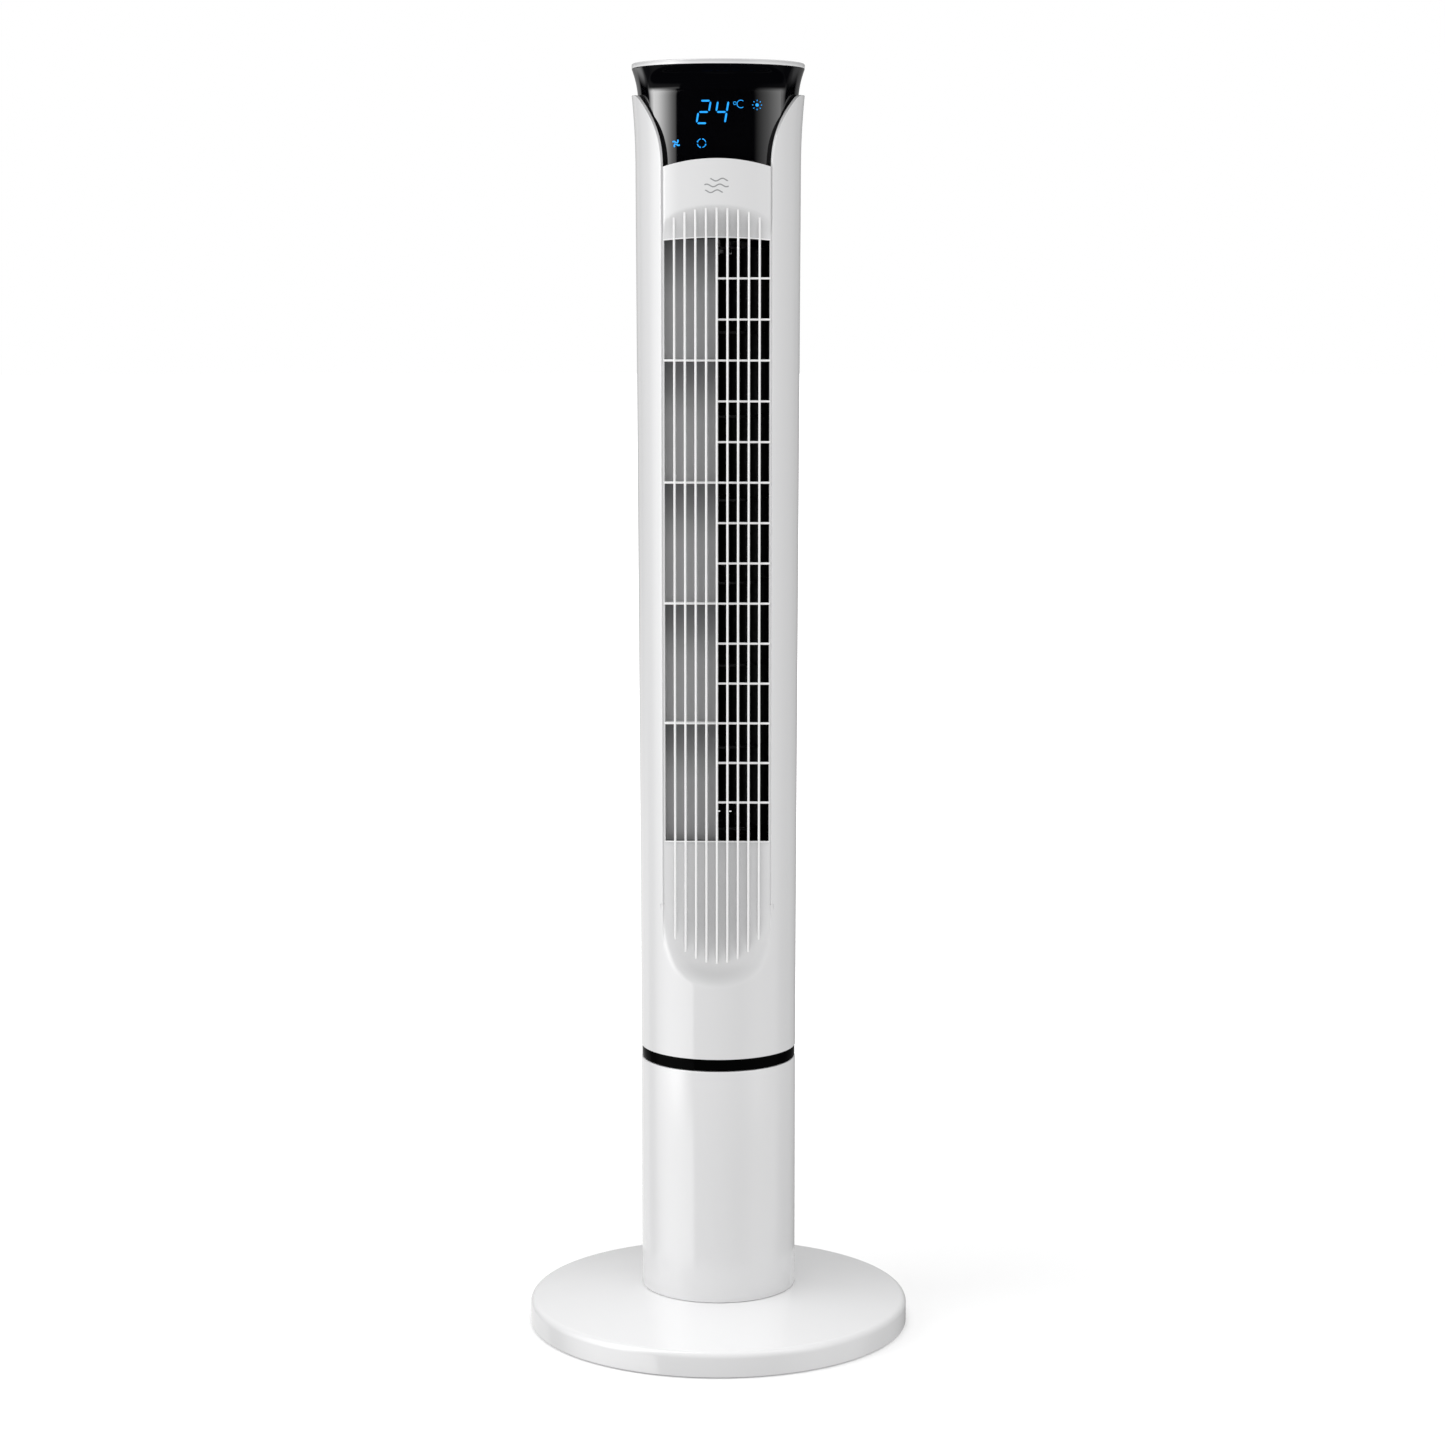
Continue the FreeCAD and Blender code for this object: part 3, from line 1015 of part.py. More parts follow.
NODES = {
    "base_cover": make_base_cover, "base_weight": make_base_weight,
    "base_bottom_plate": make_base_bottom_plate, "rubber_feet": make_rubber_feet,
    "base_screws": make_base_screws, "cord_gland": make_cord_gland,
    "column_tube": make_column_tube, "column_screws": make_column_screws,
    "swivel_plate": make_swivel_plate, "swivel_screws": make_swivel_screws,
    "thrust_washer": make_thrust_washer, "retaining_ring": make_retaining_ring,
    "sun_gear": make_sun_gear, "swing_pinion": make_swing_pinion,
    "turntable": make_turntable, "ring_trim": make_ring_trim, "floor_screws": make_floor_screws,
    "swing_motor": make_swing_motor, "swing_motor_screws": make_swing_motor_screws,
    "front_casing": make_front_casing, "rear_casing": make_rear_casing,
    "rear_top_casing": make_rear_top_casing,
    "casing_screws": make_casing_screws, "rear_grille": make_rear_grille,
    "dust_screen": make_dust_screen,
    "carry_handle": make_carry_handle, "front_grille": make_front_grille,
    "air_guide": make_air_guide, "duct_volute": make_duct_volute,
    "motor_plate": make_motor_plate, "top_bracket": make_top_bracket,
    "bearing_mount": make_bearing_mount, "top_bearing": make_top_bearing,
    "impeller": make_impeller, "top_shaft": make_top_shaft, "drive_coupling": make_drive_coupling,
    "motor_shaft": make_motor_shaft, "motor_rotor": make_motor_rotor,
    "stator_core": make_stator_core, "stator_windings": make_stator_windings,
    "motor_upper_bell": make_motor_upper_bell, "motor_lower_bell": make_motor_lower_bell,
    "motor_screws": make_motor_screws, "power_board": make_power_board,
    "run_capacitor": make_run_capacitor, "power_board_parts": make_power_board_parts,
    "head_shell": make_head_shell, "head_screws": make_head_screws, "display_lens": make_display_lens,
    "display_board": make_display_board, "led_display": make_led_display,
    "top_cap": make_top_cap, "control_board": make_control_board,
    "tact_switches": make_tact_switches, "board_screws": make_board_screws,
}


def main():
    os.makedirs("parts", exist_ok=True)
    for name, make in NODES.items():
        make().exportStep(f"parts/{name}.step")
    for name, (x, y) in zip(BUTTON_NAMES, button_places()):
        make_button(x, y).exportStep(f"parts/{name}.step")


main()
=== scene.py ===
"""Looks of the tower fan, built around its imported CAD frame.

Lengths are millimetres in the object's own frame, +Z up and the air leaving towards -Y; put() turns them
into metres. A depth is a distance in front of the tower's axis, so it is minus Y.
"""
import json
import math

import bmesh
import bpy
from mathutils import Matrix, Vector


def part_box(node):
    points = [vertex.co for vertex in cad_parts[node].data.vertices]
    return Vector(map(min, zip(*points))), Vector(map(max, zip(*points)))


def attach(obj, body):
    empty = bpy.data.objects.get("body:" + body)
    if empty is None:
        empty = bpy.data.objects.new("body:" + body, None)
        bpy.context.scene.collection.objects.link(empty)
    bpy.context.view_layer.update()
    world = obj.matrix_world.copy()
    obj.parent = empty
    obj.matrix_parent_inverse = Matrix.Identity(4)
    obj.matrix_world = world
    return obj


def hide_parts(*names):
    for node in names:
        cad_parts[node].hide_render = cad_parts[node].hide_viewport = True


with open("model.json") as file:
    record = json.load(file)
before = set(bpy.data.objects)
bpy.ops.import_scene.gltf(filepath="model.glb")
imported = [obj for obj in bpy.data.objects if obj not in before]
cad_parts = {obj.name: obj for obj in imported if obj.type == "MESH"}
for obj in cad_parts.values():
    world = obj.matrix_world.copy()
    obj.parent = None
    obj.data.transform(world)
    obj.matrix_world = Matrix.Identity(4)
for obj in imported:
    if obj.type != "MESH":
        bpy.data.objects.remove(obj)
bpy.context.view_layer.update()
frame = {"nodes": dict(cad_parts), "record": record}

MM = 0.001
FULL_TURN = 2 * math.pi


def span(node):
    """Lowest and highest corner of a CAD node, in millimetres."""
    low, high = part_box(node)
    return low / MM, high / MM


# ---- driving dimensions -------------------------------------------------------------------------------
BASE_RADIUS = span("base_cover")[1].x
BASE_UNDERSIDE_Z = span("base_cover")[0].z
BASE_CROWN_Z = 31.5
BASE_RIM_TOP_Z = 21.0
BASE_EDGE_RADIUS = 5.5
BASE_WALL = 2.5
GLAND_RADIUS = 5.5
GLAND_Z = 9.6

COLUMN_RADIUS = span("column_tube")[1].x
COLUMN_LOW_Z, COLUMN_TOP_Z = span("column_tube")[0].z, span("column_tube")[1].z
RING_RADIUS = span("ring_trim")[1].x
RING_LOW_Z, RING_TOP_Z = span("ring_trim")[0].z, span("ring_trim")[1].z
WALL = 2.5

CASING_LOW_Z = span("front_casing")[0].z
TIP_Z = span("front_casing")[1].z
SHOULDER_Z, SHOULDER_RADIUS = 935.0, 65.0
TIP_RADIUS = span("front_casing")[1].x
TAPER = (SHOULDER_RADIUS - COLUMN_RADIUS) / (SHOULDER_Z - CASING_LOW_Z)
FRONT_SEAM_Y, REAR_SEAM_Y = 8.0, 8.3

FACE_HALF_WIDTH = 43.0
FACE_RADIUS = 97.0
FACE_STEP = 0.8
SEAM_GAP = 0.4
FACE_WALL = 2.2
SCOOP_Z, SCOOP_RADIUS = 354.0, 124.0
SCOOP_FOOT_START, SCOOP_FOOT_CURVE = 45.0, 0.014
BROW_Z, BROW_RADIUS = 881.5, 27.0
OUTLET_LOW_Z, OUTLET_SIDE_Z, OUTLET_ARCH = 404.5, 877.2, 2.2
OUTLET_HALF_WIDTH = 41.0
FACE_TOP_Z, FACE_TOP_ARCH = 932.8, 6.4

RIB_COUNT, RIB_PITCH, RIB_SINK = 9, 8.3, 1.0
RIB_FRONT_WIDTH, RIB_BACK_WIDTH = 1.5, 1.9
BAR_COUNT, BAR_HEIGHT, BARS_PER_FIN = 14, 1.6, 3
BAR_PITCH = (OUTLET_SIDE_Z + 2.0 - OUTLET_LOW_Z) / (BAR_COUNT + 1)
LIP_HEIGHT = 1.1
FIN_DEPTH = 9.5

INTAKE_LOW_Z, INTAKE_TOP_Z = span("rear_grille")[0].z, span("rear_grille")[1].z
INTAKE_HALF_DEG = 47.0
SLOT_COLUMNS, SLOT_ROWS, SLOT_STEP_DEG, SLOT_WIDTH, SLOT_MARGIN = 13, 6, 6.5, 3.8, 8.0
SCREW_PLACES = [(x, z) for x in (-53.5, 53.5) for z in (268.0, 470.0, 668.0, 900.0)]
SCREW_WELL_RADIUS, SCREW_SEAT_Y = 3.5, 17.0

HEAD_LOW_Z, NECK_Z, RIM_Z = span("head_shell")[0].z, 985.0, span("head_shell")[1].z
HEAD_LOW_RADIUS, NECK_RADIUS, RIM_RADIUS = 61.7, 62.8, span("head_shell")[1].x
HEAD_WALL = 2.4
LENS_RADIUS, LENS_FRONT_DEPTH = 100.0, 50.5
LENS_TOP_Z, VISOR_RADIUS = 991.0, 17.6
LENS_HALF_WIDTH = 49.7
LENS_PROUD = 0.05

CAP_TOP_Z = span("top_cap")[1].z
CAP_EDGE_Z = 1013.8
LIP_RADIUS = 1.1
LID_SEAT_RADIUS, LID_SEAT_Z = 60.0, RIM_Z + 0.2
BUTTONS = ("timer", "speed", "power", "mode", "swing")
BUTTON_CIRCLE, BUTTON_STEP_DEG, BUTTON_HOLE_RADIUS = 42.0, 25.0, 6.8
BUTTON_TOP_Z = span("power_button")[1].z


# ---- mesh tools ---------------------------------------------------------------------------------------
def polar(radius, angle, u=0.0, v=0.0):
    """The flat point at a distance and direction from (u, v)."""
    return (u + radius * math.cos(angle), v + radius * math.sin(angle))


def circle(radius, u=0.0, v=0.0, count=32):
    return [polar(radius, FULL_TURN * i / count, u, v) for i in range(count)]


def around(radius, angle, z):
    """The point at an angle about the tower's axis, from straight ahead and positive to the right."""
    return (radius * math.sin(angle), -radius * math.cos(angle), z)


def put(name, bm, sharp_deg=35):
    """Makes an object from a bmesh in millimetres, with outward faces and smooth shading."""
    bmesh.ops.recalc_face_normals(bm, faces=bm.faces)
    bmesh.ops.scale(bm, vec=(MM, MM, MM), verts=bm.verts)
    mesh = bpy.data.meshes.new(name)
    bm.to_mesh(mesh)
    bm.free()
    mesh.shade_smooth()
    mesh.set_sharp_from_angle(angle=math.radians(sharp_deg))
    obj = bpy.data.objects.new(name, mesh)
    bpy.context.scene.collection.objects.link(obj)
    return obj


def add_rings(bm, rings, closed_loop=True, caps=False):
    """Adds quads between consecutive rings of points. closed_loop joins the last ring to the first."""
    loops = [[bm.verts.new(p) for p in ring] for ring in rings]
    pairs = list(zip(loops, loops[1:]))
    if closed_loop:
        pairs.append((loops[-1], loops[0]))
    count = len(loops[0])
    for a, b in pairs:
        for i in range(count):
            bm.faces.new((a[i], a[(i + 1) % count], b[(i + 1) % count], b[i]))
    if caps:
        bm.faces.new(loops[0])
        bm.faces.new(loops[-1])


def lathe(name, outline, segments=256, sharp_deg=35):
    """Turns a closed outline of (radius, z) points about the tower's axis."""
    bm = bmesh.new()
    add_rings(bm, [[around(r, FULL_TURN * i / segments, z) for r, z in outline] for i in range(segments)])
    bmesh.ops.remove_doubles(bm, verts=bm.verts, dist=1e-4)
    return put(name, bm, sharp_deg)


def solid(name, sections, sharp_deg=35):
    """A closed solid through its sections, from one end to the other."""
    bm = bmesh.new()
    add_rings(bm, sections, closed_loop=False, caps=True)
    return put(name, bm, sharp_deg)


def prism_y(name, outline, y0, y1):
    """A prism along Y from a closed outline of (x, z) points."""
    return solid(name, [[(x, y, z) for x, z in outline] for y in (y0, y1)])


def rounded(corners, steps=4):
    """A closed outline from (u, v, fillet radius) corners."""
    outline = []
    for i, (u, v, radius) in enumerate(corners):
        point = Vector((u, v))
        if radius == 0:
            outline.append((u, v))
            continue
        before = (Vector(corners[i - 1][:2]) - point).normalized()
        after = (Vector(corners[(i + 1) % len(corners)][:2]) - point).normalized()
        half = before.angle(after) / 2
        centre = point + (before + after).normalized() * (radius / math.sin(half))
        start = point + before * (radius / math.tan(half)) - centre
        sweep = start.angle_signed(point + after * (radius / math.tan(half)) - centre)
        for k in range(steps + 1):
            turn = -sweep * k / steps
            outline.append((centre.x + start.x * math.cos(turn) - start.y * math.sin(turn),
                            centre.y + start.x * math.sin(turn) + start.y * math.cos(turn)))
    return outline


def spread(low, high, step):
    """Evenly spaced values from low to high, no further apart than step."""
    count = max(1, math.ceil((high - low) / step - 1e-6))
    return [low + (high - low) * i / count for i in range(count + 1)]


def add_grid(bm, rows, skip=None, wrap=False):
    """Adds an open sheet from rows of points. skip(row, column) leaves a cell out."""
    made = [[bm.verts.new(p) for p in row] for row in rows]
    for i, (low, high) in enumerate(zip(made, made[1:])):
        for j in range(len(low) if wrap else len(low) - 1):
            k = (j + 1) % len(low)
            if not (skip and skip(i, j)):
                bm.faces.new((low[j], low[k], high[k], high[j]))


def thicken(bm, wall, edge_radius, sharp_edge=None):
    """Turns an open outward-facing sheet into a closed shell, wall thick, with rounded outer edges."""
    bmesh.ops.remove_doubles(bm, verts=bm.verts, dist=1e-4)
    bmesh.ops.delete(bm, geom=[v for v in bm.verts if not v.link_faces], context="VERTS")
    bm.normal_update()
    outwards = sum(f.normal.xy.dot(f.calc_center_median().xy) * f.calc_area() for f in bm.faces)
    if outwards < 0:
        bmesh.ops.reverse_faces(bm, faces=bm.faces)
        bm.normal_update()
    inner = {v: bm.verts.new(v.co - v.normal * wall) for v in list(bm.verts)}
    rim = [e for e in bm.edges if len(e.link_faces) == 1]
    for face in list(bm.faces):
        bm.faces.new([inner[v] for v in reversed(face.verts)])
    for edge in rim:
        a, b = edge.verts
        bm.faces.new((a, b, inner[b], inner[a]))
    if edge_radius > 0:
        edges = [e for e in rim if not (sharp_edge and sharp_edge(e))]
        bmesh.ops.recalc_face_normals(bm, faces=bm.faces)
        bmesh.ops.bevel(bm, geom=edges, offset=edge_radius, segments=3, profile=0.5, affect="EDGES",
                        clamp_overlap=True)


def shell(name, rows, wall, edge_radius, sharp_deg=35, skip=None, wrap=False, sharp_edge=None):
    """A thickened sheet through rows of points."""
    bm = bmesh.new()
    add_grid(bm, rows, skip, wrap)
    thicken(bm, wall, edge_radius, sharp_edge)
    return put(name, bm, sharp_deg)


def side_to_side(outer):
    """Places across the front face: outer's close steps at either edge, and wider steps between."""
    return [-x for x in reversed(outer)] + spread(-outer[0], outer[0], 1.1)[1:-1] + outer


def cut(obj, *cutters, sharp_deg=35):
    """Cuts the cutters out of obj, and removes them."""
    for cutter in cutters:
        modifier = obj.modifiers.new("cut", "BOOLEAN")
        modifier.operation = "DIFFERENCE"
        modifier.solver = "EXACT"
        modifier.object = cutter
    view = bpy.context.evaluated_depsgraph_get()
    mesh = bpy.data.meshes.new_from_object(obj.evaluated_get(view))
    obj.modifiers.clear()
    old, obj.data = obj.data, mesh
    bpy.data.meshes.remove(old)
    mesh.name = obj.name
    mesh.shade_smooth()
    mesh.set_sharp_from_angle(angle=math.radians(sharp_deg))
    for cutter in cutters:
        bpy.data.objects.remove(cutter)
    return obj


def soft_min(a, b, blend):
    """The smaller of a and b, blended over a band as wide as blend."""
    if blend <= 0:
        return min(a, b)
    overlap = max(blend - abs(a - b), 0) / blend
    return min(a, b) - overlap * overlap * blend / 4


def finished(obj, body, slot, *nodes, material=None):
    """Puts a piece on its body with its material, the slot's unless one is given, and hides the CAD nodes
    that it stands for.
    """
    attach(obj, body)
    if nodes:
        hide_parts(*nodes)
    obj.data.materials.clear()
    obj.data.materials.append(material or MATERIALS[slot])
    return obj


# ---- node trees and materials -------------------------------------------------------------------------
def is_socket(value):
    return isinstance(value, bpy.types.NodeSocket)


def rgba(value):
    """A colour socket's value from a grey or an RGB colour. Another node's output stays as it is."""
    if is_socket(value):
        return value
    return (value, value, value, 1) if isinstance(value, float) else (*value, 1)


class Nodes:
    """A small helper round a node tree. Each value is a constant or another node's output."""

    def __init__(self, tree):
        self.tree = tree

    def feed(self, socket, value):
        if is_socket(value):
            self.tree.links.new(value, socket)
        else:
            socket.default_value = value

    def make(self, kind, **inputs):
        made = self.tree.nodes.new(kind)
        for name, value in inputs.items():
            self.feed(made.inputs[name.replace("_", " ")], value)
        return made

    def axis(self, vector, name):
        return self.make("ShaderNodeSeparateXYZ", Vector=vector).outputs[name]

    def math(self, operation, *values):
        made = self.make("ShaderNodeMath")
        made.operation = operation
        for socket, value in zip(made.inputs, values):
            self.feed(socket, value)
        return made.outputs["Value"]

    def remap(self, value, low, high, new_low=0.0, new_high=1.0, kind="SMOOTHSTEP"):
        """Goes from new_low to new_high while the value goes from low to high."""
        made = self.make("ShaderNodeMapRange", Value=value, From_Min=low, From_Max=high, To_Min=new_low,
                         To_Max=new_high)
        made.interpolation_type = kind
        return made.outputs["Result"]

    def blend(self, factor, first, second, kind="MIX"):
        """Mixes two colours, or multiplies them."""
        made = self.make("ShaderNodeMix")
        made.data_type, made.blend_type = "RGBA", kind
        self.feed(made.inputs["Factor"], factor)
        self.feed(made.inputs["A"], rgba(first))
        self.feed(made.inputs["B"], rgba(second))
        return made.outputs["Result"]


class Shader(Nodes):
    """A small helper round one material. Its coordinates are places in the frame, in metres."""

    def __init__(self, name):
        self.material = bpy.data.materials.new(name)
        self.material.use_nodes = True
        super().__init__(self.material.node_tree)
        self.surface = self.tree.nodes["Principled BSDF"]
        self.coordinates = self.make("ShaderNodeTexCoord").outputs["Object"]

    def set(self, **values):
        for name, value in values.items():
            self.feed(self.surface.inputs[name.replace("_", " ")], value)

    def noise(self, scale, detail=2.0, stretch=None):
        """Noise with features about 1/scale metres across. stretch scales the three axes."""
        place = self.coordinates
        if stretch:
            place = self.make("ShaderNodeMapping", Vector=place, Scale=stretch).outputs["Vector"]
        return self.make("ShaderNodeTexNoise", Vector=place, Scale=scale, Detail=detail).outputs["Fac"]

    def colour(self, value, low, high):
        self.set(Base_Color=self.blend(value, low, high))

    def roughness(self, noise, low, high):
        """Roughness that follows the noise's usual range, 0.3 to 0.7."""
        self.set(Roughness=self.remap(noise, 0.3, 0.7, low, high, "LINEAR"))

    def bump(self, value, height):
        """Bump from a value, height metres high."""
        made = self.make("ShaderNodeBump", Strength=1.0, Distance=height, Height=value)
        self.set(Normal=made.outputs["Normal"])

    def gloss(self, low, high, peel=0.000003):
        """Uneven polish and a faint orange peel, peel metres high."""
        self.roughness(self.noise(60, 4), low, high)
        self.bump(self.noise(420, 2), peel)

    def grain(self, low, high):
        """A fine spark-eroded grain."""
        self.roughness(self.noise(300, 3), low, high)
        self.bump(self.noise(1500, 3), 0.00003)

    def paint_shade(self, where, share):
        """Darkens the colour to a share of itself as the value goes from 0 to 1: painted shade."""
        plain = self.surface.inputs["Base Color"].links[0].from_socket
        self.set(Base_Color=self.blend(1.0, plain, self.blend(where, 1.0, share), "MULTIPLY"))

    def paint_recess_shade(self, share):
        """Paints shade into seams and recesses, darkening the colour where they are enclosed."""
        openness = self.make("ShaderNodeAmbientOcclusion", Distance=RECESS_REACH)
        openness.samples = 4
        self.paint_shade(self.math("SUBTRACT", 1.0, openness.outputs["AO"]), share)

    def paint_ledge_shade(self, share):
        """Paints shade onto faces that look up, so that they look less lit from above: in full where they
        lean back by about 45 degrees.
        """
        normal = self.make("ShaderNodeNewGeometry").outputs["Normal"]
        self.paint_shade(self.remap(self.axis(normal, "Z"), 0.04, 0.70, kind="LINEAR"), share)


def gloss_plastic(name, colour, variation, roughness, ior=1.5, recess_shade_share=1.0, ledge_shade_share=1.0):
    """Moulded gloss plastic, slightly cloudy.

    The shares are how much of its colour it keeps under painted shade, deep in a recess and where it faces
    up.
    """
    shader = Shader(name)
    shader.colour(shader.noise(14, 3), tuple(c * (1 - variation) for c in colour), colour)
    # Painted shade: darker in recesses and on faces that look up.
    if recess_shade_share < 1:
        shader.paint_recess_shade(recess_shade_share)
    if ledge_shade_share < 1:
        shader.paint_ledge_shade(ledge_shade_share)
    shader.gloss(roughness * 0.8, roughness * 1.25)
    shader.set(IOR=ior)
    return shader.material


def matte_plastic(name, colour, variation, roughness):
    shader = Shader(name)
    shader.colour(shader.noise(22, 3), tuple(c * (1 - variation) for c in colour), colour)
    shader.grain(roughness * 0.9, roughness * 1.12)
    return shader.material


def rubber(name, colour):
    shader = Shader(name)
    shader.colour(shader.noise(90, 4), tuple(c * 0.7 for c in colour), tuple(c * 1.4 for c in colour))
    shader.roughness(shader.noise(500, 3), 0.72, 0.92)
    shader.bump(shader.noise(900, 4), 0.00006)
    shader.set(Specular_IOR_Level=0.35)
    return shader.material


def metal(name, colour, roughness, stretch=(1, 1, 30)):
    """Metal with faint streaks from its making."""
    shader = Shader(name)
    streaks = shader.noise(160, 4, stretch)
    shader.colour(shader.noise(70, 3), tuple(c * 0.86 for c in colour), colour)
    shader.roughness(streaks, roughness * 0.75, roughness * 1.3)
    shader.bump(streaks, 0.00001)
    shader.set(Metallic=1.0)
    return shader.material


def winding(name):
    """Enamelled wire, wound round and round."""
    shader = Shader(name)
    wires = shader.noise(900, 2, (0.1, 0.1, 3))
    shader.colour(wires, (0.40, 0.15, 0.05), (0.80, 0.40, 0.18))
    shader.roughness(wires, 0.25, 0.45)
    shader.bump(wires, 0.0001)
    shader.set(Metallic=0.8)
    return shader.material


def circuit_board(name):
    """Green solder mask with faint copper tracks under it."""
    shader = Shader(name)
    shader.colour(shader.noise(240, 1, (1, 1, 0.2)), (0.012, 0.09, 0.035), (0.03, 0.17, 0.07))
    shader.roughness(shader.noise(400, 2), 0.3, 0.45)
    shader.bump(shader.noise(500, 1), 0.00002)
    return shader.material


def light_emitting(name):
    """Azure light from behind a dark lens, slightly uneven along each segment."""
    shader = Shader(name)
    unevenness = shader.noise(220, 2)
    shader.colour(unevenness, (0.0, 0.10, 0.35), (0.0, 0.16, 0.5))
    shader.set(Emission_Color=shader.blend(unevenness, (0.0, 0.27, 0.9), (0.03, 0.48, 1.0)),
               Emission_Strength=1.0, Roughness=0.4)
    return shader.material


def guide_plastic():
    """Grey plastic with painted shadow under each fin: darker towards the top of each section between fins.
    """
    shader = Shader("guide_grey")
    start, end = OUTLET_LOW_Z * MM, (OUTLET_LOW_Z + BARS_PER_FIN * BAR_PITCH) * MM
    height = shader.math("WRAP", shader.axis(shader.coordinates, "Z"), end, start)
    shade = shader.remap(height, start + 0.45 * (end - start), end)
    # Painted shadow cast by the fin above.
    shader.colour(shade, (0.44, 0.44, 0.445), (0.20, 0.20, 0.205))
    shader.grain(0.45, 0.6)
    return shader.material


def grille_plastic():
    """The thin ribs and bars: painted brighter than the casing's white and given a faint painted glow, so
    that they read as light lines on the dark outlet.
    """
    shader = Shader("grille_white_painted_glow")
    # Painted light: a brighter white than the casing's.
    shader.colour(shader.noise(14, 3), (0.95, 0.95, 0.95), (0.97, 0.97, 0.97))
    shader.gloss(0.10, 0.16)
    # Painted glow: the ribs and bars give off a little light, though they are no lamp.
    shader.set(Emission_Color=(1, 1, 1, 1), Emission_Strength=0.06)
    return shader.material


def head_lacquer():
    """Black piano lacquer. The visor above the display turns matt, so that it hides what it overhangs."""
    shader = Shader("head_lacquer")
    above = shader.remap(shader.axis(shader.coordinates, "Z"), (LENS_TOP_Z - 0.8) * MM,
                         (LENS_TOP_Z + 3.2) * MM)
    ahead = shader.remap(shader.axis(shader.coordinates, "Y"), -30.0 * MM, -36.0 * MM)
    visor = shader.math("MULTIPLY", above, ahead)
    shader.set(Specular_IOR_Level=shader.remap(visor, 0.0, 1.0, 0.5, 0.01, "LINEAR"), IOR=2.0)
    shader.colour(shader.noise(14, 3), (0.0015, 0.0015, 0.002), (0.002, 0.002, 0.003))
    shader.gloss(0.03, 0.05, 0.000002)
    return shader.material


def lid_plastic():
    """Gloss white with painted light and shade: its lip is painted brighter, and its top, nearest to the top
    light, darker.
    """
    shader = Shader("lid_white")
    height = shader.remap(shader.axis(shader.coordinates, "Z"), (RIM_Z + 0.4) * MM,
                          (CAP_EDGE_Z - 1.2) * MM, kind="LINEAR")
    # Painted shade on the top, painted light on the lip.
    shader.colour(height, LIP_PAINTED_LIGHT_WHITE, LID_TOP_PAINTED_SHADE_WHITE)
    shader.gloss(0.09, 0.14)
    return shader.material


RECESS_REACH = 0.016
WHITE = (0.86, 0.86, 0.865)
# Painted light and shade on the lid: a brighter white for its lip, a darker one for its top.
LIP_PAINTED_LIGHT_WHITE, LID_TOP_PAINTED_SHADE_WHITE = (0.94, 0.94, 0.945), (0.66, 0.66, 0.665)
SLOT_LOOKS = {
    "white_gloss": (gloss_plastic, WHITE, 0.012, 0.11),
    "white_satin": (gloss_plastic, WHITE, 0.02, 0.24),
    "pale_plastic": (matte_plastic, (0.78, 0.78, 0.77), 0.05, 0.45),
    "grey_plastic": (matte_plastic, (0.34, 0.345, 0.35), 0.05, 0.55),
    "black_gloss": (gloss_plastic, (0.004, 0.004, 0.005), 0.3, 0.04, 2.0),
    "black_plastic": (matte_plastic, (0.008, 0.008, 0.009), 0.3, 0.6),
    "rubber": (rubber, (0.022, 0.022, 0.023)),
    "acetal": (matte_plastic, (0.76, 0.74, 0.68), 0.04, 0.35),
    "plate_steel": (metal, (0.42, 0.42, 0.43), 0.5),
    "screw_steel": (metal, (0.62, 0.62, 0.63), 0.3),
    "motor_metal": (metal, (0.50, 0.50, 0.51), 0.42),
    "rotor_core": (metal, (0.22, 0.22, 0.23), 0.45, (1, 1, 60)),
    "winding_copper": (winding,),
    "brass": (metal, (0.72, 0.53, 0.24), 0.28),
    "board_green": (circuit_board,),
    "component_black": (matte_plastic, (0.015, 0.015, 0.015), 0.3, 0.4),
    "component_blue": (matte_plastic, (0.03, 0.09, 0.30), 0.1, 0.35),
    "led_blue": (light_emitting,),
}
MATERIALS = {slot: make(slot, *details) for slot, (make, *details) in SLOT_LOOKS.items()}


# ---- the tower's shapes -------------------------------------------------------------------------------
def flare(distance, slope, end_distance, end_rise):
    """A curve that leaves along slope and has risen by end_rise at end_distance."""
    curve = (end_rise - slope * end_distance) / end_distance ** 2
    return slope * distance + curve * distance * distance


def casing_radius(z):
    if z <= SHOULDER_Z:
        return COLUMN_RADIUS + TAPER * (z - CASING_LOW_Z)
    return SHOULDER_RADIUS + flare(z - SHOULDER_Z, TAPER, TIP_Z - SHOULDER_Z, TIP_RADIUS - SHOULDER_RADIUS)


def casing_depth(x, z):
    return math.sqrt(casing_radius(z) ** 2 - x * x)


def seam_depth(z):
    return casing_depth(FACE_HALF_WIDTH, z) - FACE_STEP


FACE_LEAN = (seam_depth(SHOULDER_Z) - seam_depth(SCOOP_Z)) / (SHOULDER_Z - SCOOP_Z)


def plane_depth(z):
    """Depth of the outlet's plane."""
    return seam_depth(SCOOP_Z) + FACE_LEAN * (z - SCOOP_Z)


def ramp(distance, radius):
    """How far a ramp of that radius has come forward at a distance past its start."""
    distance = min(max(distance, 0), radius)
    return radius - math.sqrt(radius * radius - distance * distance)


def ramp_run(rise, radius):
    """How far past its start a ramp has risen by rise."""
    return math.sqrt(radius * radius - (radius - rise) ** 2)


def bulge(x):
    """How far the gently curved face stands in front of the outlet's plane."""
    return math.sqrt(FACE_RADIUS ** 2 - x * x) - math.sqrt(FACE_RADIUS ** 2 - FACE_HALF_WIDTH ** 2)


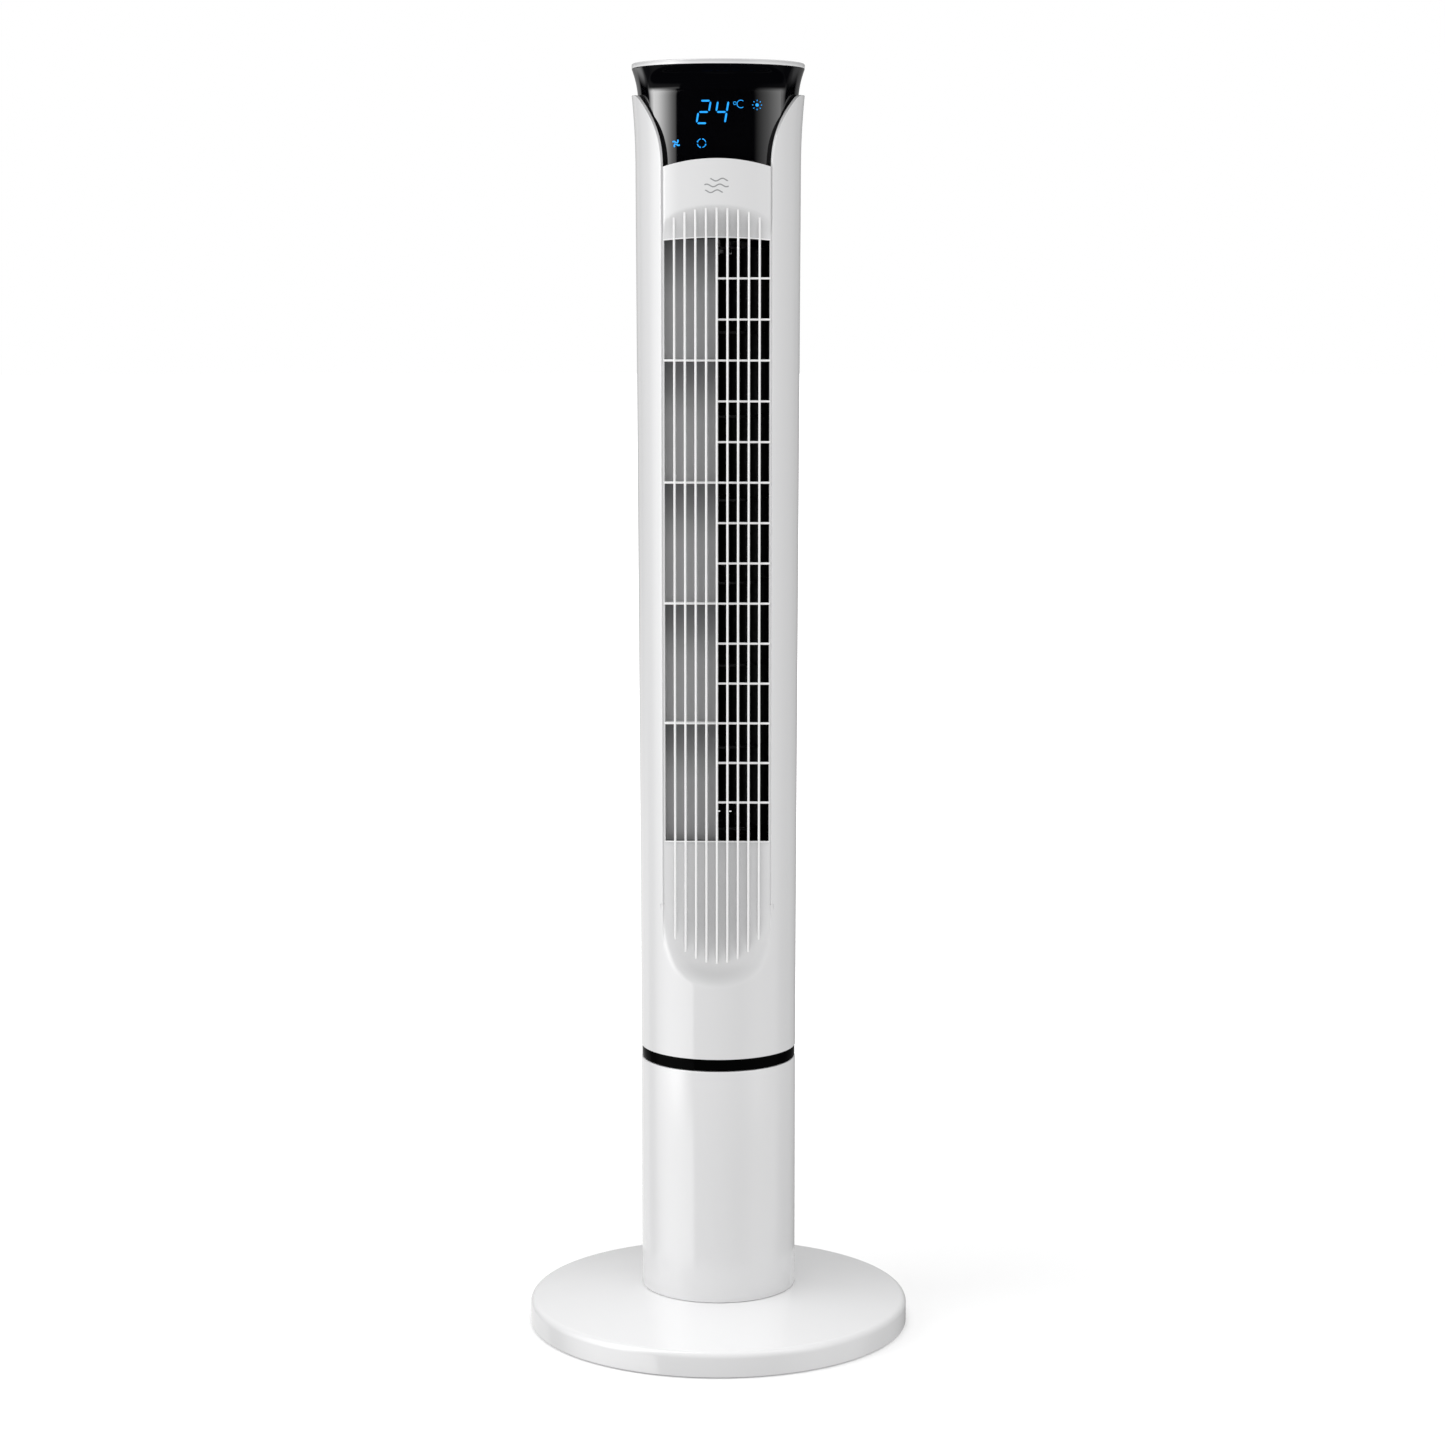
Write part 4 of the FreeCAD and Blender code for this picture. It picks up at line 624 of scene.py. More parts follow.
def skirt_depth(x, z):
    """The casing's front, with the ramp that leads up into the outlet's recess."""
    side_rise = 3.0 * max(0.0, abs(x) - FACE_HALF_WIDTH + 0.3)
    foot_rise = SCOOP_FOOT_CURVE * max(0.0, SCOOP_Z - z - SCOOP_FOOT_START) ** 2
    recess = plane_depth(z) + ramp(SCOOP_Z - z, SCOOP_RADIUS) + side_rise + foot_rise
    below = min(1.0, (SCOOP_Z - z) / 30.0)
    return soft_min(casing_depth(x, z), recess, 0.4 + 4.2 * below)


FACE_EDGE_RADIUS, FRAME_EDGE_RADIUS = 2.4, 0.9


def face_depth(x, z):
    """The insert's front: the outlet's plane, the brow above it and the gently curved panel."""
    above = min(1.0, max(0.0, (z - OUTLET_SIDE_Z) / 6.0))
    radius = FRAME_EDGE_RADIUS + (FACE_EDGE_RADIUS - FRAME_EDGE_RADIUS) * above
    past = (abs(x) - (FACE_HALF_WIDTH - SEAM_GAP) + radius) / radius
    rounding = radius * (1 - math.sqrt(1 - min(0.92, max(0.0, past)) ** 2))
    return plane_depth(z) + soft_min(ramp(z - BROW_Z, BROW_RADIUS), bulge(x), 1.4) - rounding


def lapel_x(z):
    """Half distance between the wings' front edges at a height, above the shoulder."""
    inner = FACE_HALF_WIDTH + SEAM_GAP
    poles = ((inner, SHOULDER_Z - 2.0), (inner, 953.0), (48.5, 970.0), (64.3, TIP_Z))
    if z <= poles[0][1]:
        return inner
    low, high = 0.0, 1.0
    for _ in range(40):
        t = (low + high) / 2
        weights = ((1 - t) ** 3, 3 * t * (1 - t) ** 2, 3 * t * t * (1 - t), t ** 3)
        reached = sum(w * pole[1] for w, pole in zip(weights, poles))
        low, high = (t, high) if reached < z else (low, t)
    return sum(w * pole[0] for w, pole in zip(weights, poles))


LAPEL_TIP_RADIUS = 3.0


def wing_edge_x(z):
    """The wing's front edge, with its tip rounded off."""
    into_tip = max(0.0, min(1.0, (z - TIP_Z + LAPEL_TIP_RADIUS) / LAPEL_TIP_RADIUS))
    rounding = LAPEL_TIP_RADIUS * (1 - math.sqrt(1 - into_tip * into_tip))
    return min(lapel_x(z) + rounding, casing_radius(z) - 0.5)


def on_casing(angle, z):
    return around(casing_radius(z), angle, z)


def seam_angle(z, y):
    return math.acos(-y / casing_radius(z))


# ---- pedestal -----------------------------------------------------------------------------------------
def make_base_cover():
    rim, crown = BASE_RADIUS, COLUMN_RADIUS + 2
    outline = rounded([
        (9.0, BASE_CROWN_Z, 0), (crown, BASE_CROWN_Z, 3.0), (rim, BASE_RIM_TOP_Z - 0.55, BASE_EDGE_RADIUS),
        (rim, BASE_UNDERSIDE_Z, 0.7), (rim - BASE_WALL, BASE_UNDERSIDE_Z, 0.3),
        (rim - BASE_WALL, BASE_RIM_TOP_Z - BASE_WALL - 1.0, 2.0), (crown, BASE_CROWN_Z - BASE_WALL, 0),
        (9.0, BASE_CROWN_Z - BASE_WALL, 0)], steps=8)
    cover = lathe("base_cover_shell", outline, 320)
    hole = prism_y("gland_hole", circle(GLAND_RADIUS, 0, GLAND_Z), BASE_RADIUS - 20, BASE_RADIUS + 5)
    return cut(cover, hole)


def make_column():
    r, inner = COLUMN_RADIUS, COLUMN_RADIUS - WALL
    return lathe("column_shell", rounded([(r, COLUMN_LOW_Z, 0.5), (r, COLUMN_TOP_Z, 1.2),
                                          (inner, COLUMN_TOP_Z, 0.3), (inner, COLUMN_LOW_Z, 0)]))


def make_ring():
    r, inner = RING_RADIUS, span("turntable")[1].x + 0.1
    return lathe("gloss_ring", rounded([
        (r, RING_LOW_Z, 0.4), (r, RING_TOP_Z, 0.3), (inner, RING_TOP_Z, 0), (inner, RING_LOW_Z, 0)]))


# ---- tower casing -------------------------------------------------------------------------------------
def make_front_casing():
    inner = FACE_HALF_WIDTH + SEAM_GAP
    bm = bmesh.new()
    low_rows = [CASING_LOW_Z] + spread(CASING_LOW_Z + 1.2, 262, 6) + spread(264, SCOOP_Z, 1.6)
    tip_rows = [TIP_Z - LAPEL_TIP_RADIUS * (1 - math.sin(math.radians(a))) for a in range(15, 91, 15)]
    high_rows = spread(SCOOP_Z, SHOULDER_Z, 24)[1:] + spread(SHOULDER_Z + 2, TIP_Z - LAPEL_TIP_RADIUS, 1.8)
    wing_steps = spread(0, 1, 1 / 30)
    for side in (-1, 1):
        rows = []
        for z in low_rows + high_rows + tip_rows:
            start = math.asin(wing_edge_x(z) / casing_radius(z))
            end = seam_angle(z, FRONT_SEAM_Y)
            rows.append([on_casing(side * (start + (end - start) * t), z) for t in wing_steps])
        add_grid(bm, rows if side > 0 else [row[::-1] for row in rows])
    columns = side_to_side(spread(FACE_HALF_WIDTH - 1.5, inner, 0.2))
    add_grid(bm, [[(x, -skirt_depth(x, z), z) for x in columns] for z in low_rows])

    def meets_insert(edge):
        return all(abs(v.co.z - SCOOP_Z) < 0.01 and abs(v.co.x) < inner + 0.01 for v in edge.verts)

    thicken(bm, WALL, 0.9, meets_insert)
    return put("front_wings", bm)


def rear_spans(z):
    """The rear half's directions at a height: up to the intake, across it and beyond it."""
    seam, half = seam_angle(z, REAR_SEAM_Y), math.radians(INTAKE_HALF_DEG + 0.3)
    ends = (seam, math.pi - half, math.pi + half, FULL_TURN - seam)
    return [spread(start, end, 0.028) for start, end in zip(ends, ends[1:])]


def make_rear_casing():
    low, high = INTAKE_LOW_Z - 0.3, INTAKE_TOP_Z + 0.3
    rows_z = (spread(CASING_LOW_Z, low, 6) + spread(low, high, 8)[1:] + spread(high, SHOULDER_Z, 4)[1:]
              + spread(SHOULDER_Z, TIP_Z, 2.5)[1:])
    rows = []
    for z in rows_z:
        before, across, beyond = rear_spans(z)
        rows.append([on_casing(a, z) for a in before + across[1:] + beyond[1:]])
    side_columns, middle_columns = (len(part) - 1 for part in rear_spans(CASING_LOW_Z)[:2])

    def in_intake(i, j):
        return low < (rows_z[i] + rows_z[i + 1]) / 2 < high and 0 <= j - side_columns < middle_columns

    casing = shell("rear_shell", rows, WALL, 0.6, skip=in_intake)
    first, last = span("carry_handle")
    left, right, bottom, top = first.x - 0.1, last.x + 0.1, first.z - 0.1, last.z + 0.1
    pocket = rounded([(left, bottom, 10), (right, bottom, 10), (right, top, 10), (left, top, 10)], steps=8)
    wells = [prism_y("well", circle(SCREW_WELL_RADIUS, x, z), SCREW_SEAT_Y, 80) for x, z in SCREW_PLACES]
    return cut(casing, prism_y("pocket", pocket, 41, 90), *wells)


def make_screw_wells():
    """The sleeves that the casing screws sit in."""
    bm = bmesh.new()
    start, bore, wall = SCREW_SEAT_Y - 3, SCREW_WELL_RADIUS, SCREW_WELL_RADIUS + 1.4
    for x, z in SCREW_PLACES:
        end = math.sqrt((casing_radius(z) - WALL / 2) ** 2 - (abs(x) + wall) ** 2)
        outline = ((bore, start), (bore, end), (wall, end), (wall, start))
        add_rings(bm, [[(u, y, v) for u, v in circle(r, x, z)] for r, y in outline])
    return put("screw_wells", bm)


def make_rear_grille():
    """Curved intake panel: each slot's round-ended outline is joined to its own rectangle of panel."""
    bm = bmesh.new()
    half = math.radians(INTAKE_HALF_DEG)
    step = math.radians(SLOT_STEP_DEG)
    pitch = (INTAKE_TOP_Z - INTAKE_LOW_Z - SLOT_MARGIN) / SLOT_ROWS
    first_z = INTAKE_LOW_Z + SLOT_MARGIN / 2
    slot_half = SLOT_WIDTH / 2 / casing_radius((INTAKE_LOW_Z + INTAKE_TOP_Z) / 2)

    def point(turn, z):
        return on_casing(math.pi + turn, z)

    def patch(a0, a1, z0, z1, cells=1):
        add_grid(bm, [[point(a0 + (a1 - a0) * k / cells, z) for k in range(cells + 1)] for z in (z0, z1)])

    edge = step * SLOT_COLUMNS / 2
    for row in range(SLOT_ROWS):
        low, high = first_z + row * pitch, first_z + (row + 1) * pitch
        slot_low, slot_high = low + SLOT_MARGIN / 2, high - SLOT_MARGIN / 2
        end = SLOT_WIDTH / 2
        for column in range(SLOT_COLUMNS):
            middle = (column - (SLOT_COLUMNS - 1) / 2) * step
            inner, outer = [], []
            for k in range(5):
                turn = math.pi / 4 * k
                inner.append((middle + slot_half * math.cos(turn), slot_high - end + end * math.sin(turn)))
                across = max(-1.0, min(1.0, math.cos(turn) / math.sin(math.pi / 4)))
                outer.append((middle + step / 2 * across, high if 0 < k < 4 else slot_high - end))
            inner += [(2 * middle - a, slot_low + slot_high - z) for a, z in inner]
            outer += [(2 * middle - a, low + high - z) for a, z in outer]
            ring_in = [bm.verts.new(point(a, z)) for a, z in inner]
            ring_out = [bm.verts.new(point(a, z)) for a, z in outer]
            for k in range(10):
                n = (k + 1) % 10
                bm.faces.new((ring_in[k], ring_in[n], ring_out[n], ring_out[k]))
        for side in (-1, 1):
            levels = (low, slot_low + end, slot_high - end, high)
            for z0, z1 in zip(levels, levels[1:]):
                a0, a1 = sorted((side * edge, side * half))
                patch(a0, a1, z0, z1, 2)
    for z0, z1 in ((INTAKE_LOW_Z, first_z), (first_z + SLOT_ROWS * pitch, INTAKE_TOP_Z)):
        patch(-half, -edge, z0, z1, 2)
        patch(-edge, edge, z0, z1, 2 * SLOT_COLUMNS)
        patch(edge, half, z0, z1, 2)
    thicken(bm, WALL, 0.35)
    return put("intake_grille", bm)


# ---- front face ---------------------------------------------------------------------------------------
def arch(x, half_width, rise):
    """Height of a shallow arch over |x| < half_width."""
    return rise * (1 - min(1.0, abs(x) / half_width) ** 2)


def make_face_panel():
    """Insert between the wings: the outlet's frame, the brow and the plain panel above."""
    edge = FACE_HALF_WIDTH - SEAM_GAP
    columns = side_to_side(spread(OUTLET_HALF_WIDTH - 2, OUTLET_HALF_WIDTH, 0.4)
                           + spread(OUTLET_HALF_WIDTH, edge, 0.16)[1:])
    low_rows = spread(SCOOP_Z, OUTLET_LOW_Z, 8)
    side_rows = spread(0, 1, 1 / 30)[1:]
    top_rows = spread(0, 1, 1 / 56)[1:]
    rows = [[(x, -face_depth(x, z), z) for x in columns] for z in low_rows]
    for t in side_rows + [1 + t for t in top_rows]:
        row = []
        for x in columns:
            window_top = OUTLET_SIDE_Z + arch(x, OUTLET_HALF_WIDTH, OUTLET_ARCH)
            panel_top = FACE_TOP_Z + arch(x, edge, FACE_TOP_ARCH)
            if t <= 1:
                z = OUTLET_LOW_Z + (window_top - OUTLET_LOW_Z) * t
            else:
                z = window_top + (panel_top - window_top) * (t - 1)
            row.append((x, -face_depth(x, z), z))
        rows.append(row)
    first, last = len(low_rows) - 1, len(low_rows) - 1 + len(side_rows)

    def in_window(i, j):
        return first <= i < last and abs(columns[j] + columns[j + 1]) / 2 < OUTLET_HALF_WIDTH

    def meets_skirt(edge_line):
        return all(abs(v.co.z - SCOOP_Z) < 0.01 for v in edge_line.verts)

    return shell("face_panel", rows, FACE_WALL, 0.35, skip=in_window, sharp_edge=meets_skirt)


def make_rib(index):
    """One upright rib: it springs from the scoop, crosses the outlet and sinks into the brow."""
    x = (index - (RIB_COUNT - 1) / 2) * RIB_PITCH
    front_rise = bulge(x) - RIB_SINK
    z0 = SCOOP_Z - ramp_run(front_rise + 0.7, SCOOP_RADIUS)
    z1 = BROW_Z + ramp_run(front_rise + 0.7, BROW_RADIUS)
    levels = spread(z0, SCOOP_Z, 3) + spread(SCOOP_Z, BROW_Z, 40)[1:] + spread(BROW_Z, z1, 1)[1:]
    sections = []
    for z in levels:
        plane = plane_depth(z)
        back = plane - 1.6 + ramp(SCOOP_Z - z, SCOOP_RADIUS) + ramp(z - BROW_Z, BROW_RADIUS)
        front = max(plane + front_rise, back + 0.4)
        nose = min(0.55, (front - back) * 0.45)
        outline = rounded([(-RIB_BACK_WIDTH / 2, back, 0), (-RIB_FRONT_WIDTH / 2, front, nose),
                           (RIB_FRONT_WIDTH / 2, front, nose), (RIB_BACK_WIDTH / 2, back, 0)], steps=3)
        sections.append([(x + u, -depth, z) for u, depth in outline])
    return solid(f"outlet_rib_{index + 1}", sections, 50)


def crossbar(name, x0, x1, z, front, back, height=BAR_HEIGHT, rise=0.0):
    """A thin bar with rounded edges, from x0 to x1, arched by rise. front and back are depths."""
    low, high = z - height / 2, z + height / 2
    outline = rounded([(back, low, 0.3), (front, low, 0.4), (front, high, 0.4), (back, high, 0.3)], steps=3)
    return solid(name, [[(x, -depth, level + arch(x, OUTLET_HALF_WIDTH, rise)) for depth, level in outline]
                        for x in spread(x0, x1, 4)], 50)


def make_bars():
    """Level bars across the outlet's right half. Every third one spans it all, with a deep fin behind."""
    reach = OUTLET_HALF_WIDTH + 0.5
    sill, top = plane_depth(OUTLET_LOW_Z), plane_depth(OUTLET_SIDE_Z)
    made = [crossbar("outlet_sill", -reach, reach, OUTLET_LOW_Z + 0.1, sill + 0.3, sill - 1.6, LIP_HEIGHT),
            crossbar("outlet_lintel", -reach, reach, OUTLET_SIDE_Z - 0.1, top + 0.3, top - 1.6, LIP_HEIGHT,
                     OUTLET_ARCH)]
    for i in range(1, BAR_COUNT + 1):
        z = OUTLET_LOW_Z + i * BAR_PITCH
        plane = plane_depth(z)
        is_fin = i % BARS_PER_FIN == 0
        made.append(crossbar(f"outlet_bar_{i}", -reach if is_fin else 0, reach, z, plane + 0.6, plane - 1.6))
        if is_fin:
            made.append(crossbar(f"outlet_fin_{i}", 1 - reach, 0.5, z, plane - 1.2, plane - FIN_DEPTH))
    return made


def make_guide_wall():
    """Pale wall behind the outlet's left half, ending in the blower's tongue."""
    front, back, tongue = FIN_DEPTH + 0.5, FIN_DEPTH + 2.3, FIN_DEPTH + 5.0
    outline = ((-43.3, 3.0), (-41.5, 3.0), (-41.5, front), (-0.6, front), (-0.6, tongue), (-2.6, tongue),
               (-2.6, back), (-43.3, back))
    levels = spread(OUTLET_LOW_Z - 2, span("top_bracket")[0].z - 0.2, 60)
    return solid("guide_wall", [[(x, behind - plane_depth(z), z) for x, behind in outline] for z in levels])


# ---- head ---------------------------------------------------------------------------------------------
def round_head_radius(z):
    slope = (NECK_RADIUS - HEAD_LOW_RADIUS) / (NECK_Z - HEAD_LOW_Z)
    if z <= NECK_Z:
        return HEAD_LOW_RADIUS + slope * (z - HEAD_LOW_Z)
    return NECK_RADIUS + flare(z - NECK_Z, slope, RIM_Z - NECK_Z, RIM_RADIUS - NECK_RADIUS)


def head_radius(angle, z):
    """Radius of the head at an angle from straight ahead: round, with the flatter display face in front."""
    face = LENS_RADIUS + ramp(z - LENS_TOP_Z, VISOR_RADIUS)
    behind = LENS_RADIUS - LENS_FRONT_DEPTH
    toward = math.cos(angle)
    reach = -behind * toward + math.sqrt(face * face - behind * behind * (1 - toward * toward))
    return soft_min(round_head_radius(z), reach, 1.6)


def lens_depth(x):
    """Depth of the display's front face."""
    return LENS_FRONT_DEPTH - LENS_RADIUS + math.sqrt(LENS_RADIUS ** 2 - x * x) + LENS_PROUD


def make_head():
    levels = spread(HEAD_LOW_Z, NECK_Z, 4) + spread(NECK_Z, RIM_Z - 1.2, 0.8)[1:] + [RIM_Z - 0.6, RIM_Z]
    front, back = math.radians(75), math.radians(285)
    angles = spread(-front, front, math.radians(0.5)) + spread(front, back, math.radians(2))[1:-1]
    rows = [[around(head_radius(a, z), a, z) for a in angles] for z in levels]
    return shell("head_body", rows, HEAD_WALL, 0.3, 60, wrap=True)


def make_lens():
    rows = [[(x, -lens_depth(x), z) for x in spread(-LENS_HALF_WIDTH, LENS_HALF_WIDTH, 1.2)]
            for z in spread(HEAD_LOW_Z + 0.5, LENS_TOP_Z - 0.2, 4)]
    return shell("display_glass", rows, 1.5, 0.2, 60)


def make_cap():
    """White lid with a thin rounded lip, and holes for the five buttons."""
    dome_radius = (RIM_RADIUS ** 2 + (CAP_TOP_Z - CAP_EDGE_Z) ** 2) / (2 * (CAP_TOP_Z - CAP_EDGE_Z))
    dome = [(r, CAP_TOP_Z - dome_radius + math.sqrt(dome_radius ** 2 - r * r)) for r in spread(0, 66.0, 5)]
    lip = rounded([(*dome[-1], 0), (RIM_RADIUS, CAP_EDGE_Z, LIP_RADIUS), (RIM_RADIUS - 0.1, LID_SEAT_Z, 0.3),
                   (LID_SEAT_RADIUS, LID_SEAT_Z, 0)], steps=8)
    under = [(r, z - 2.0) for r, z in reversed(dome) if r < LID_SEAT_RADIUS - 2]
    cap = lathe("lid", dome[:-1] + lip + under, 256, 40)
    r, top = BUTTON_HOLE_RADIUS, BUTTON_TOP_Z
    outline = ((r, RIM_Z - 5), (r, top - 0.7), (r + 0.3, top - 0.15), (r + 1.8, top + 1.2))
    holes = []
    for index in range(len(BUTTONS)):
        x, y = button_place(index)
        sections = [[(u, v, z) for u, v in circle(radius, x, y, 48)] for radius, z in outline]
        holes.append(solid("button_hole", sections))
    return cut(cap, *holes, sharp_deg=40)


def button_place(index):
    """The middle of a button, counted from the left."""
    turn = math.radians(BUTTON_STEP_DEG * (index - (len(BUTTONS) - 1) / 2))
    return around(BUTTON_CIRCLE, turn, BUTTON_TOP_Z)[:2]


# ---- symbols ------------------------------------------------------------------------------------------
def stroke(bm, line, width, place, pointed=False):
    """A raised ribbon along a line of (u, v) points. place(u, v, height) gives a point in the frame."""
    lefts, rights = [], []
    for i, point in enumerate(line):
        before, after = line[max(i - 1, 0)], line[min(i + 1, len(line) - 1)]
        along = (Vector(after) - Vector(before)).normalized()
        side = Vector((-along.y, along.x)) * (width / 2)
        if pointed and i in (0, len(line) - 1):
            side *= 0.35
        lefts.append(Vector(point) + side)
        rights.append(Vector(point) - side)
    sections = [[place(*a, -0.3), place(*b, -0.3), place(*b, 1), place(*a, 1)] for a, b in zip(lefts, rights)]
    add_rings(bm, sections, closed_loop=False, caps=True)


def disc(bm, u, v, radius, place, count=20):
    rim = circle(radius, u, v, count)
    add_rings(bm, [[place(a, b, h) for a, b in rim] for h in (-0.3, 1)], closed_loop=False, caps=True)


def arc_line(u, v, radius, start_deg, end_deg, steps=10):
    return [polar(radius, math.radians(start_deg + (end_deg - start_deg) * i / steps), u, v)
            for i in range(steps + 1)]


def propeller(bm, u, v, blades, start, width, place):
    """Curved blades round a point."""
    for i in range(blades):
        a = FULL_TURN * i / blades + start
        line = [polar(r, a + turn, u, v) for r, turn in ((0.5, 0), (1.4, 0.12), (2.3, 0.34), (3.1, 0.66))]
        stroke(bm, line, width, place)


def on_lens(u, v, height):
    """A point on the display's face. u is across, v is the height above the floor."""
    return (u, -(lens_depth(u) + 0.08 * height), v)


DIGIT_SEGMENTS = {
    "a": ((0, 2), (1, 2)), "b": ((1, 2), (1, 1)), "c": ((1, 1), (1, 0)), "d": ((0, 0), (1, 0)),
    "e": ((0, 1), (0, 0)), "f": ((0, 2), (0, 1)), "g": ((0, 1), (1, 1)),
}


def digit(bm, lit, u, v, width, height):
    """A slanted seven-segment digit whose lower left corner is at (u, v)."""
    slant = 0.17
    for name in lit:
        (a0, b0), (a1, b1) = DIGIT_SEGMENTS[name]
        start, end = Vector((a0 * width, b0 * height / 2)), Vector((a1 * width, b1 * height / 2))
        gap = (end - start).normalized() * 0.75
        start, end = start + gap, end - gap
        line = []
        for t in (0, 0.1, 0.37, 0.63, 0.9, 1):
            p = start + (end - start) * t
            line.append((u + p.x + slant * p.y, v + p.y))
        stroke(bm, line, 1.35, on_lens, pointed=True)


def make_display():
    """The lit part of the display: a temperature, its unit, and three plain symbols."""
    made = {}
    for name, lit, u in (("display_digit_tens", "abged", -15.6), ("display_digit_ones", "fgbc", -1.9)):
        made[name] = bmesh.new()
        digit(made[name], lit, u, 965.9, 8.1, 17.0)
    unit = made["display_unit"] = bmesh.new()
    stroke(unit, arc_line(13.9, 981.1, 1.1, 0, 345, 14), 0.42, on_lens)
    stroke(unit, arc_line(18.5, 980.5, 2.9, 50, 310, 14), 0.5, on_lens)
    sun = made["display_sun"] = bmesh.new()
    u, v = 31.0, 979.9
    disc(sun, u, v, 1.25, on_lens)
    for i in range(8):
        a = FULL_TURN * i / 8
        stroke(sun, [polar(r, a, u, v) for r in (2.9, 3.4, 3.9)], 0.75, on_lens, pointed=True)
    fan = made["display_fan"] = bmesh.new()
    propeller(fan, -31.5, 950.8, 4, 0.5, 1.1, on_lens)
    turning = made["display_swing"] = bmesh.new()
    u, v = -11.7, 950.8
    for start in (12, 102, 192, 282):
        stroke(turning, arc_line(u, v, 3.3, start, start + 50, 6), 0.6, on_lens)
        stroke(turning, arc_line(u, v, 3.3, start + 50, start + 68, 2), 1.3, on_lens, pointed=True)
    return [put(name, bm, 60) for name, bm in made.items()]


def button_icon(index):
    """A printed symbol in the middle of a button: clock, fan, power, waves or swing."""
    cx, cy = button_place(index)

    def on_button(u, v, height):
        return (cx + u, cy + v, BUTTON_TOP_Z + 0.04 * height)

    bm = bmesh.new()
    if index == 0:
        stroke(bm, arc_line(0, 0, 3.0, 0, 352, 28), 0.5, on_button)
        stroke(bm, [(0, 2.0), (0, 0), (1.5, 0)], 0.5, on_button)
    elif index == 1:
        propeller(bm, 0, 0, 3, 0.4, 1.5, on_button)
    elif index == 2:
        stroke(bm, arc_line(0, -0.2, 2.8, 125, 415, 24), 0.6, on_button)
        stroke(bm, [(0, 0.6), (0, 1.8), (0, 3.0)], 0.6, on_button)
    elif index == 3:
        for level in (-1.7, 0, 1.7):
            line = [(u, level + 0.5 * math.sin(u * 2.0)) for u in spread(-2.9, 2.9, 0.3)]
            stroke(bm, line, 0.5, on_button)
    else:
        stroke(bm, arc_line(0, -2.4, 4.4, 45, 135, 12), 0.55, on_button)
        for side in (-1, 1):
            stroke(bm, [(side * 2.9, 2.0), (side * 3.1, 0.7), (side * 1.6, 0.7)], 0.5, on_button)
    return put(f"icon_{BUTTONS[index]}", bm, 60)


def make_badge():
    """A plain printed breeze mark on the panel: three wavy lines."""

    def on_panel(u, v, height):
        return (u, -(face_depth(u, v) + 0.03 * height), v)

    bm = bmesh.new()
    for level, shift, half in ((914.0, -2.0, 7.0), (918.4, 0.0, 9.5), (922.8, 2.0, 7.0)):
        line = [(shift + u, level + math.sin(u * 0.62)) for u in spread(-half, half, 0.7)]
        stroke(bm, line, 0.9, on_panel, pointed=True)
    return put("breeze_mark", bm, 60)


# ---- assembly -----------------------------------------------------------------------------------------
def build_pieces():
    finished(make_base_cover(), "pedestal", "white_gloss", "base_cover")
    finished(make_column(), "pedestal", "white_gloss", "column_tube")
    finished(make_ring(), "tower", "black_gloss", "ring_trim",
             material=gloss_plastic("ring_black", (0.002, 0.002, 0.002), 0.3, 0.06, 1.05))
    # Gloss white with painted shade in its seams and recesses and on faces that look up, for the front casing
    # and the face panel.
    painted_shade_white = gloss_plastic("white_with_painted_shade", WHITE, 0.012, 0.11, recess_shade_share=0.68, ledge_shade_share=0.60)
    finished(make_front_casing(), "tower", "white_gloss", "front_casing", material=painted_shade_white)
    finished(make_rear_casing(), "tower", "white_gloss", "rear_casing", "rear_top_casing")
    finished(make_screw_wells(), "tower", "white_gloss")
    finished(make_rear_grille(), "tower", "white_gloss", "rear_grille")
    finished(make_face_panel(), "tower", "white_gloss", "front_grille", material=painted_shade_white)
    finished(make_guide_wall(), "tower", "grey_plastic", "air_guide", material=guide_plastic())
    # Ribs and bars: a brighter white with a faint painted glow.
    bright = grille_plastic()
    for index in range(RIB_COUNT):
        finished(make_rib(index), "tower", "white_gloss", material=bright)
    for bar in make_bars():
        finished(bar, "tower", "white_gloss", material=bright)
    lacquer = head_lacquer()
    finished(make_head(), "tower", "black_gloss", "head_shell", material=lacquer)
    finished(make_lens(), "tower", "black_gloss", "display_lens", material=lacquer)
    finished(make_cap(), "tower", "white_gloss", "top_cap", material=lid_plastic())
    lit = [finished(piece, "tower", "led_blue") for piece in make_display()]
    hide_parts("led_display")
    finished(make_badge(), "tower", "grey_plastic")
    for index, name in enumerate(BUTTONS):
        finished(button_icon(index), f"button_{name}", "component_black")


def dress_cad_nodes():
    """Gives every CAD node that still shows its material and smooth, cleanly split shading."""
    for row in frame["record"]["subparts"]:
        node = frame["nodes"][row["node"]]
        if node.hide_render:
            continue
        node.data.materials.clear()
        node.data.materials.append(MATERIALS[row["material_slot"]])
        node.data.shade_smooth()
        weld = node.modifiers.new("weld", "WELD")
        weld.merge_threshold = 0.00001
        split = node.modifiers.new("split", "EDGE_SPLIT")
        split.split_angle = math.radians(30)


# ---- studio -------------------------------------------------------------------------------------------
CAMERA_DISTANCE = 2.6
CAMERA_HEIGHT = 0.84
CAMERA_AZIMUTH_DEG = 1.3
CAMERA_PITCH_DEG = 7.58
CAMERA_YAW_DEG = 0.074
CAMERA_LENS_MM = 81.3


